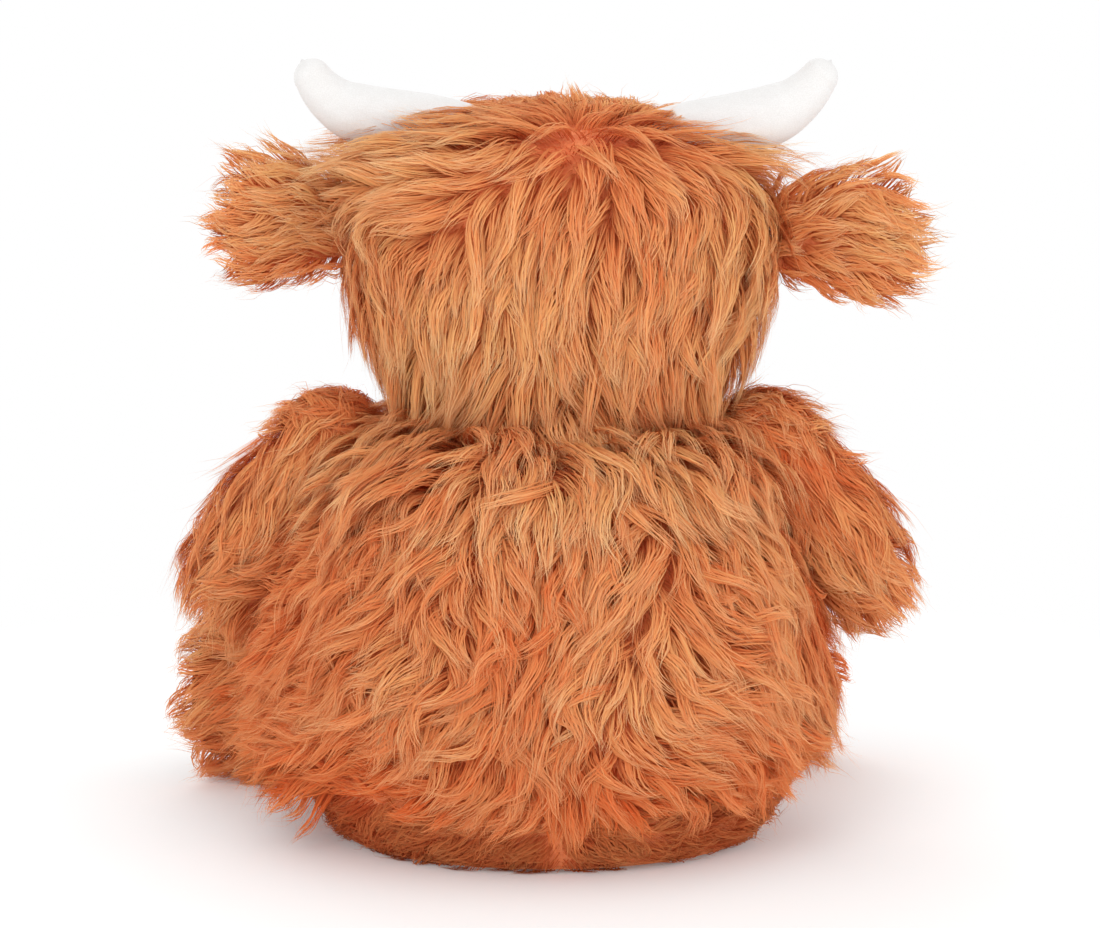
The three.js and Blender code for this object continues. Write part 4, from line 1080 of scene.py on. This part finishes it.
def head_roots(p):
    """Not on the muzzle, in the hollow over the neck, under the horns or on the eyes."""
    q = in_head(p)
    keep = (muzzle_outer.height_above(p) > 0.001) & (np.linalg.norm(q, axis=1) > NECK_RADIUS + 0.002)
    for _, side in SIDES:
        horn = np.array([side * (HORN_ROOT_OUT + 0.006), HORN_SET_BACK, HORN_ROOT_RISE])
        eye = np.array([side * EYE_SPACING / 2, face_depth(EYE_SPACING / 2, EYE_RISE), EYE_RISE])
        keep &= (np.linalg.norm(q - horn, axis=1) > 0.010) & (np.linalg.norm(q - eye, axis=1) > 0.012)
    return keep


def head_length(p):
    q = in_head(p)
    low = 1 - smooth_step(q[:, 2], 0.040, 0.075)
    corner = smooth_step(np.abs(q[:, 0]), 0.040, 0.065) * smooth_step(q[:, 2], 0.095, 0.120)
    back = smooth_step(q[:, 1], 0.0, 0.03)
    return 0.038 * (1 - 0.6 * face_share(q)) * (1 + (0.3 + 0.6 * back) * low + 0.4 * corner)


def head_rise(p):
    q = in_head(p)
    crown = smooth_step(q[:, 2], 0.120, 0.142)
    return 0.0105 * (1 - 0.6 * face_share(q)) * (1 - 0.35 * crown)


def head_tone(p):
    """Darker at the whorl; painted shade low on the head, where it turns under."""
    q = in_head(p)
    low = 1 - smooth_step(q[:, 2], 0.035, 0.060)
    return 0.12 - 0.12 * spot(q, WHORL[0], 0.122, 0.016) - 0.28 * low


def muzzle_roots(p):
    """In front of the head, and not on the nostrils."""
    keep = head_skin.height_above(p) > 0.001
    q = muzzle_outer.local(p)
    for _, side in SIDES:
        across = (q[:, 0] - side * NOSTRIL_SPACING / 2) / (NOSTRIL_WIDTH / 2 + 0.0006)
        up = (q[:, 1] - NOSTRIL_RISE - 0.0008) / (NOSTRIL_HEIGHT / 2 + 0.0010)
        keep &= (across ** 2 + up ** 2 > 1) | (q[:, 2] < 0)
    return keep


def forelock_roots(p):
    q = in_head(p)
    return (np.abs(q[:, 0]) < 0.034) & (q[:, 1] < 0.012) & (q[:, 2] > 0.128)


def forelock_lie(p):
    q = in_head(p)
    fall = smooth_step(-q[:, 1], 0.03, 0.07)[:, None]
    x = q[:, 0] / HORN_ROOT_OUT
    return unit(ways(0.5 * x, -1, -0.25) * (1 - fall) + ways(0.35 * x, 0, -1) * fall) @ tilt.T


def forelock_rise(p):
    """Low on the crown, fuller over the brow."""
    return 0.0065 + 0.006 * smooth_step(-in_head(p)[:, 1], 0.0, 0.04)


def lower_left(p):
    return smooth_step(p[:, 0], 0.045, 0.085) * (1 - smooth_step(p[:, 2], 0.030, 0.070))


def body_length(p):
    low = 1 - smooth_step(p[:, 2], 0.025, 0.055)
    right = smooth_step(-p[:, 0], 0.03, 0.08)
    return 0.036 * (1 - (0.45 + 0.2 * right) * low) * (1 + 0.6 * lower_left(p))


def body_rise(p):
    low = 1 - smooth_step(p[:, 2], 0.025, 0.085)
    wide = smooth_step(np.abs(p[:, 0]), 0.06, 0.10)
    wide = wide * np.where(p[:, 0] < 0, 0.75, 0.45)
    return 0.0100 * (1 - 0.4 * low) * (1 - wide) + 0.005 * lower_left(p)


def body_painted_shading(p):
    """Painted shade under the arms, in the crease over the seam, on the left flank and low down; painted
    light at the top, where the head shades it.
    """
    under = spot(np.abs(p), 0.105, 0.090, 0.020)
    seam = 1 - smooth_step(p[:, 2], SEAM_HEIGHT, SEAM_HEIGHT + 0.022)
    top = smooth_step(p[:, 2], 0.125, 0.150)
    left = smooth_step(p[:, 0], 0.030, 0.080)
    low = 1 - smooth_step(p[:, 2], 0.045, 0.085)
    # Every term here is painted light or shade rather than the coat's own colour.
    return -0.02 - 0.14 * under - 0.08 * seam + 0.12 * top - 0.17 * left - 0.26 * low


def above_seam(p):
    return (p[:, 2] > SEAM_HEIGHT + 0.006) & (p[:, 2] < COLLAR_HEIGHT)


def collar_roots(p):
    return (p[:, 2] >= COLLAR_HEIGHT) & (np.linalg.norm(p - NECK, axis=1) > NECK_RADIUS - 0.010)


def collar_rise(p):
    """Fuller beside the neck, where the hair stands up to the shoulders."""
    return 0.0140 + 0.0040 * smooth_step(np.abs(p[:, 0]), 0.020, 0.045)


def below_seam(p):
    return (p[:, 2] <= SEAM_HEIGHT + 0.002) & (p[:, 2] > SEAT_PILE + 0.0015)


def neck_roots(p):
    return (p[:, 2] > 0.156) & (p[:, 2] < 0.188)


def neck_lie(p):
    return unit(unit((p - NECK) * (1, 1, 0)) * 0.8 + DOWN)


# The cloth under the hair, and the hair on it.

body_skin = body_form(PILE)
head_skin = head_form(PILE)
neck_skin = ball_form(NECK, NECK_RADIUS - 0.006)
muzzle_outer = muzzle_form(0)
muzzle_skin = muzzle_form(0.0022)

PILE_HAIR = dict(spacing=0.0026, strands=9, lock_radius=0.0022, curl=0.3, untidy=0.2, close=0.2,
                 material=MUZZLE_HAIR)  # of short plush
coats = [
    Coat("head_hair", head_skin, "head", seed=11, spacing=0.0062, lie=head_lie, length=head_length,
         rise=head_rise, keep=head_roots, avoid=[(muzzle_outer, 0.002)], strands=30, curl=0.28, hook=0.2,
         spin=0.16, sway=0.2, tone=head_tone, untidy=0.8),
    Coat("forelock_hair", head_skin, "head", seed=14, spacing=0.0056, lie=forelock_lie, length=steady(0.062),
         rise=forelock_rise, keep=forelock_roots, avoid=[(muzzle_outer, 0.002)], strands=26, curl=0.3,
         close=0.75, untidy=0.3),
    Coat("body_hair", body_skin, "torso", seed=12, spacing=0.0050, lie=body_lie, length=body_length,
         rise=body_rise, keep=above_seam, strands=23, lock_radius=0.0040, spin=0.32, sway=0.4,
         tone=body_painted_shading),
    # The seat's hair is darker: its own deeper colour and painted shade under the body.
    Coat("base_hair", body_skin, "torso", seed=13, spacing=0.0056, lie=base_lie, length=steady(0.018),
         rise=steady(0.0040), keep=below_seam, strands=20, tone=-0.10, material=BASE_HAIR),
    # Painted light: the neck's hair is made lighter against the head's shadow on it.
    Coat("neck_hair", neck_skin, "torso", seed=15, spacing=0.0058, lie=neck_lie, length=steady(0.030),
         rise=steady(0.0100), keep=neck_roots, strands=22, close=0.4, tone=0.12),
    # Painted light: the collar's hair is made lighter against the head's shadow on it.
    Coat("collar_hair", body_skin, "torso", seed=17, spacing=0.0052, lie=collar_lie, length=steady(0.046),
         rise=collar_rise, keep=collar_roots, strands=26, lock_radius=0.0045, curl=0.4, hook=0.15, spin=0.2,
         sway=0.4, tone=0.13, untidy=0.4, close=0.4),
    Coat("muzzle_pile", muzzle_skin, "head", seed=16, lie=lambda p: np.array([0, 1.0, -0.8]) + 0 * p,
         length=steady(0.0055), rise=steady(0.0022), keep=muzzle_roots, slot="muzzle_plush", **PILE_HAIR),
]
skins = [
    (head_skin, "head_cloth", "head", ["head_coat", "head_stuffing"], UNDERCOAT, "ginger_coat"),
    (body_skin, "body_cloth", "torso", ["body_coat", "base_panel", "body_stuffing", "pellet_bag"], UNDERCOAT,
     "ginger_coat"),
    (muzzle_skin, "muzzle_cloth", "head", ["muzzle_cover"], MUZZLE, "muzzle_plush"),
    (neck_skin, "neck_cloth", "torso", [], UNDERCOAT, "ginger_coat"),
]


def on_lining(q, side):
    """Whether points in an ear's own frame lie in its lining."""
    across = np.abs(q[:, 0] / (LINING_WIDTH / 2))
    along = np.abs((q[:, 2] - LINING_MIDDLE * EAR_LENGTH[side]) / (LINING_REACH / 2))
    return (q[:, 1] < 0) & (across ** LINING_SQUARENESS + along ** LINING_SQUARENESS < 1)


def add_skin(form, body, *fillings):
    """The cloth of a limb or an ear, which stands for its coat and for what fills it."""
    nodes = [body + "_coat", *(body + filling for filling in fillings)]
    skins.append((form, body + "_cloth", body, nodes, UNDERCOAT, "ginger_coat"))


def add_arm(name, side):
    piece, joint, way = name + "_arm", ARM_JOINT * (side, 1, 1), arm_axis(side)
    skin, body_outer = arm_form(side, LIMB_PILE), body_form(0.002)
    add_skin(skin, piece, "_stuffing")

    def length(p):
        return LIMB_HAIR * (1 - 0.45 * smooth_step((p - joint) @ way, 0.055, 0.085))

    def rise(p):
        return 0.0035 + 0.0048 * smooth_step((p - joint) @ way, 0.0, 0.040)

    def roots(p):
        return ((p - joint) @ way > -0.022) & (body_outer.height_above(p) > -0.006)

    def tone(p):
        # Painted shade darkens the arm's lowest part, on its underside.
        return -0.05 - 0.14 * (1 - smooth_step((p - joint)[:, 2], -0.075, -0.045))

    def shoulder_lie(p):
        return unit((p - NECK) * (1, 0.6, 0)) + unit(p - joint) * 0.5 + DOWN * 0.35

    def shoulder_roots(p):
        q = p - joint
        return (q @ way < 0.022) & (q[:, 2] > 0.007) & (body_outer.height_above(p) > -0.006)

    coats.append(Coat(name + "_shoulder_hair", skin, piece, seed=61 + (side < 0), spacing=0.0052,
                      lie=shoulder_lie, length=steady(0.022), rise=steady(0.0030), keep=shoulder_roots,
                      strands=22, spin=0.5, tone=-0.02))
    coats.append(Coat(piece + "_hair", skin, piece, seed=21 + (side < 0), spacing=0.0060,
                      lie=limb_lie(way, joint, 0.4, 0.6 if side > 0 else 0.3), length=length, rise=rise,
                      keep=roots, tone=tone))


def add_leg(name, side):
    piece, joint, way = name + "_leg", LEG_JOINT * (side, 1, 1), leg_axis(name, side)
    skin = leg_form(name, side, LIMB_PILE)
    add_skin(skin, piece, "_stuffing")

    def length(p):
        return LIMB_HAIR * (1 - 0.45 * smooth_step((p - joint) @ way, 0.045, 0.075))

    def roots(p):
        """Clear of the floor and off the sole."""
        along = (p - joint) @ way
        off = np.linalg.norm(p - joint - along[:, None] * way, axis=1)
        return (along > 0.004) & (p[:, 2] > 0.004) & ((along < LEG_LENGTH - 0.003) | (off > SOLE_RADIUS))

    coats.append(Coat(piece + "_hair", skin, piece, seed=31 + (side < 0), spacing=0.0060,
                      lie=limb_lie(way, joint, 1.15), length=length, rise=steady(0.0085), keep=roots,
                      strands=28, spin=0.34, tone=-0.10))


def add_ear(name, side):
    """The ear's hair, and the short pile of its lining. The right ear's is longer and lighter."""
    piece, joint, axes = name + "_ear", ear_joint(side), ear_axes(side)
    skin = ear_form(side, EAR_PILE)
    add_skin(skin, piece)

    def length(p):
        q = (p - joint) @ axes
        end = smooth_step(q[:, 2], EAR_LENGTH[side] * 0.6, EAR_LENGTH[side])
        root_top = smooth_step(q[:, 0], 0.004, 0.016) * (1 - smooth_step(q[:, 2], 0.015, 0.035))
        return (0.023 if side > 0 else 0.026) * (1 - 0.25 * end) * (1 + 0.35 * root_top)

    def roots(p):
        q = (p - joint) @ axes
        return (q[:, 2] > -0.001) & ~on_lining(q, side)

    def tone(p):
        q = (p - joint) @ axes
        # Painted shade darkens the ear's lower side.
        return (0.09 if side > 0 else 0.19) - 0.20 * smooth_step(-q[:, 0], 0.0, 0.018)

    coats.append(Coat(piece + "_hair", skin, piece, seed=41 + (side < 0), spacing=0.0048, lie=ear_lie(side),
                      length=length, rise=steady(0.0050), keep=roots, lock_radius=0.0042, tone=tone,
                      curl=0.3, spin=0.16))
    coats.append(Coat(name + "_lining_pile", skin, piece, seed=51 + (side < 0),
                      lie=lambda p: axes[:, 2] + DOWN * 0.3 + 0 * p, length=steady(0.006),
                      rise=steady(0.0028), keep=lambda p: on_lining((p - joint) @ axes, side),
                      slot="ear_plush", **PILE_HAIR))


def patch(name, place, rings=10, sides=40, flip=False):
    """A mesh over the unit disc: place gives the point for each (x, y) of the disc."""
    share = np.linspace(0, 1, rings + 1)[1:]
    angle = np.arange(sides) * 2 * math.pi / sides
    grid = [(0.0, 0.0)] + [(r * math.cos(a), r * math.sin(a)) for r in share for a in angle]
    faces = [(0, 1 + j, 1 + (j + 1) % sides) for j in range(sides)]
    for i in range(rings - 1):
        for j in range(sides):
            a, b = 1 + i * sides + j, 1 + i * sides + (j + 1) % sides
            faces.append((a, a + sides, b + sides, b))
    if flip:
        faces = [face[::-1] for face in faces]
    return add_mesh(name, place(np.array(grid)), faces)


def dress(piece, body, slot, material, *nodes):
    piece.data.materials.append(material)
    if nodes:
        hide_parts(*nodes)
    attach(piece, body)
    return piece


def add_lining(name, side):
    """The pale pad in the front of the ear, under its pile."""
    form = ear_form(side, EAR_PILE - 0.0008)

    def place(disc):
        r = np.linalg.norm(disc, axis=1)
        a = np.arctan2(disc[:, 1], disc[:, 0])
        bulge = np.abs(np.cos(a)) ** LINING_SQUARENESS + np.abs(np.sin(a)) ** LINING_SQUARENESS
        edge = r * bulge ** (-1 / LINING_SQUARENESS)
        out = LINING_MIDDLE * EAR_LENGTH[side] + edge * np.sin(a) * LINING_REACH / 2
        p = form.world(ways(edge * np.cos(a) * LINING_WIDTH / 2, -0.004, out))
        for _ in range(3):
            p = form.to_height(p, np.zeros(len(p)))
        return p + form.normal(p) * (0.0012 * np.sqrt(np.clip(1 - r ** 4, 0, 1)) - 0.0006)[:, None]

    lining = patch(name + "_lining_cloth", place, flip=side > 0)
    dress(lining, name + "_ear", "ear_plush", LINING, name + "_ear_lining")


def add_sole(name, side):
    """A domed suede disc, with a ring of stitches round it."""
    axes = frame_along(leg_axis(name, side), UP)
    origin = LEG_JOINT * (side, 1, 1)
    base = LEG_LENGTH - SOLE_THICKNESS
    dome = arc(0, QUARTER, 12, SOLE_RADIUS, SOLE_DOME, (0, LEG_LENGTH))
    rim = [(0, base), (SOLE_RADIUS - SOLE_BEVEL, base), (SOLE_RADIUS, base + SOLE_BEVEL)]
    profile = rim + dome[:-1] + [(0, LEG_LENGTH + SOLE_DOME)]
    sole = Form(profile, origin, axes).mesh(name + "_sole", TURNED_SIDES)
    dress(sole, name + "_leg", "sole_suede", SUEDE, name + "_foot_sole")
    points, faces = [], []
    ring = SOLE_RADIUS - STITCH_INSET
    rise = LEG_LENGTH + SOLE_DOME * math.sqrt(1 - (ring / SOLE_RADIUS) ** 2)
    for angle in np.arange(SOLE_STITCHES) * 2 * math.pi / SOLE_STITCHES:
        radial = np.array([math.cos(angle), math.sin(angle), 0])
        along = np.array([-math.sin(angle), math.cos(angle), 0])
        middle = radial * ring + np.array([0, 0, rise])
        halves = [half * way for half, way in zip(STITCH_HALVES, (along, radial, UP))]
        add_bead(points, faces, middle, *halves)
    stitches = add_mesh(name + "_sole_stitches", np.array(points) @ axes.T + origin, faces)
    dress(stitches, name + "_leg", "sole_suede", THREAD)


def add_bead(points, faces, middle, along, across, up, sides=6, rings=5):
    """A small closed ellipsoid given by its three half-axes, added to a growing mesh."""
    first = len(points)
    points.append(middle - along)
    for i in range(1, rings):
        a = math.pi * i / rings - QUARTER
        for j in range(sides):
            b = 2 * math.pi * j / sides
            points.append(middle + along * math.sin(a)
                          + (across * math.cos(b) + up * math.sin(b)) * math.cos(a))
    points.append(middle + along)
    last = len(points) - 1
    for j in range(sides):
        k = (j + 1) % sides
        faces.append((first, first + 1 + k, first + 1 + j))
        faces.append((last, last - sides + j, last - sides + k))
        for i in range(rings - 2):
            row = first + 1 + i * sides
            faces.append((row + j, row + k, row + sides + k, row + sides + j))


def add_eye(name, side):
    """A glossy dome on a stem, looking out of the face."""
    x = side * EYE_SPACING / 2
    step = 0.001
    seat = np.array([x, face_depth(x, EYE_RISE), EYE_RISE])
    across = np.array([2 * step, face_depth(x + step, EYE_RISE) - face_depth(x - step, EYE_RISE), 0])
    up = np.array([0, face_depth(x, EYE_RISE + step) - face_depth(x, EYE_RISE - step), 2 * step])
    out = tilt @ unit(np.cross(across, up))
    dome = arc(0, QUARTER, 14, EYE_RADIUS, EYE_DOME, (0, EYE_RIM))
    stem = [(0, -STEM_LENGTH), (STEM_RADIUS, -STEM_LENGTH), (STEM_RADIUS, 0)]
    profile = stem + [(EYE_RADIUS - 0.0005, 0)] + dome[:-1] + [(0, EYE_RIM + EYE_DOME)]
    axes = frame_along(out, UP)
    eye = Form(profile, on_head(seat) - out * EYE_SINK, axes).mesh(name + "_eyeball", TURNED_SIDES)
    dress(eye, "head", "eye_plastic", EYE, name + "_eye")

    def place(disc):
        r = np.linalg.norm(disc, axis=1)
        p = head_skin.to_height(on_head(seat) + disc @ axes[:, :2].T * EYE_SEAT_RADIUS, 0 * r)
        height = (PILE - EYE_SINK - 0.0003) * (1 - r ** 2.5) - 0.0004
        return head_skin.to_height(p, height)

    dress(patch(name + "_eye_seat", place), "head", "ginger_coat", UNDERCOAT)


def add_nostril(name, side):
    """A satin-stitched oval on the front of the muzzle."""
    profile = muzzle_outer.profile[len(muzzle_outer.profile) // 2:]

    def place(disc):
        x = side * NOSTRIL_SPACING / 2 + disc[:, 0] * NOSTRIL_WIDTH / 2
        y = NOSTRIL_RISE + disc[:, 1] * NOSTRIL_HEIGHT / 2
        r = np.hypot(x, y / muzzle_outer.flat)
        z = np.interp(r, profile[::-1, 0], profile[::-1, 1])
        p = muzzle_outer.world(ways(x, y, z))
        edge = np.clip(1 - (disc ** 2).sum(axis=1), 0, 1)
        ridges = THREAD_RIDGE * np.sin(disc[:, 0] * NOSTRIL_WIDTH / 2 * 2 * math.pi / THREAD_WIDTH)
        height = (NOSTRIL_THICKNESS + ridges) * np.sqrt(edge) - 0.0012 * (1 - edge)
        return p + muzzle_outer.normal(p) * height[:, None]

    stitching = patch(name + "_nostril_stitching", place, 24, 72)
    dress(stitching, "head", "nostril_thread", THREAD, name + "_nostril")


def add_horn(name, side):
    """A stuffed velour horn that leaves the head nearly level and curves up, with a seam along its back."""
    end = np.array([HORN_REACH, HORN_TIP_RISE - side * HORN_EVENING])
    lean = np.array([math.sin(HORN_LEAN), math.cos(HORN_LEAN)])
    t = np.linspace(0, 1, 48)[:, None]
    a, b = np.array([HORN_ROOT_OUT, HORN_ROOT_RISE]), np.array([HORN_SHOULDER_OUT, HORN_SHOULDER_RISE])
    c, d = end - HORN_UPTURN * lean, end - HORN_TIP_RADIUS * lean
    line = a * (1 - t) ** 3 + 3 * b * t * (1 - t) ** 2 + 3 * c * t ** 2 * (1 - t) + d * t ** 3
    span = np.append(0, np.cumsum(np.linalg.norm(np.diff(line, axis=0), axis=1)))
    swell = [(0, HORN_ROOT_RADIUS), (HORN_BELLY_AT, HORN_BELLY_RADIUS), (HORN_NECK_AT, HORN_NECK_RADIUS)]
    radius = np.array(spline(swell + [(1, HORN_TIP_RADIUS)], 40))
    radius = np.interp(span / span[-1], radius[:, 0], radius[:, 1])
    ends = np.linspace(0, QUARTER, 12)[1:-1]
    last = unit(line[-1] - line[-2])
    line = np.vstack([line, [line[-1] + last * HORN_TIP_RADIUS * math.sin(e) for e in ends]])
    radius = np.append(radius, HORN_TIP_RADIUS * np.cos(ends))
    way = unit(np.gradient(line, axis=0))
    angle = np.arange(HORN_SIDES) * 2 * math.pi / HORN_SIDES
    seam = 1 - HORN_SEAM_DEPTH * np.exp(-((np.abs(angle - QUARTER)) / HORN_SEAM_WIDTH) ** 2)
    rings = []
    for (x, z), (dx, dz), r in zip(line, way, radius):
        out = np.outer(np.cos(angle) * r * seam, [-dz, 0, dx]) + np.outer(np.sin(angle) * r * seam, [0, 1, 0])
        rings.append(np.array([x, HORN_SET_BACK, z]) + out)
    root = [line[0, 0], HORN_SET_BACK, line[0, 1]]
    tip = [line[-1, 0] + last[0] * 0.001, HORN_SET_BACK, line[-1, 1] + last[1] * 0.001]
    points = np.vstack(rings + [[root, tip]])
    points[:, 0] *= side
    horn = add_mesh(name + "_horn", on_head(points), tube_faces(len(rings), HORN_SIDES, side < 0))
    dress(horn, "head", "horn_velour", VELOUR, name + "_horn_cover", name + "_horn_stuffing")


for name, side in SIDES:
    add_arm(name, side)
    add_leg(name, side)
    add_ear(name, side)
    add_lining(name, side)
    add_sole(name, side)
    add_eye(name, side)
    add_nostril(name, side)
    add_horn(name, side)

for form, name, body, nodes, material, slot in skins:
    cloth = dress(form.mesh(name), body, slot, material, *nodes)

for coat in coats:
    points, *looks = grow(coat)
    order = np.argsort(points[:, 0, 0], kind="stable")
    parts = np.array_split(order, math.ceil(len(points) / MOST_STRANDS))
    for i, chosen in enumerate(parts):
        name = coat.name if len(parts) == 1 else f"{coat.name}_{i + 1}"
        hair = strands_mesh(name, points[chosen], *(look[chosen] for look in looks))
        dress(hair, coat.body, coat.slot, coat.material or HAIR)
        if coat.name == "forelock_hair":
            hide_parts("forelock")

for name, _ in SIDES:
    washer = bpy.data.objects.get(name + "_eye_washer")
    if washer is not None:
        washer.data.materials.clear()
        washer.data.materials.append(PLASTIC)
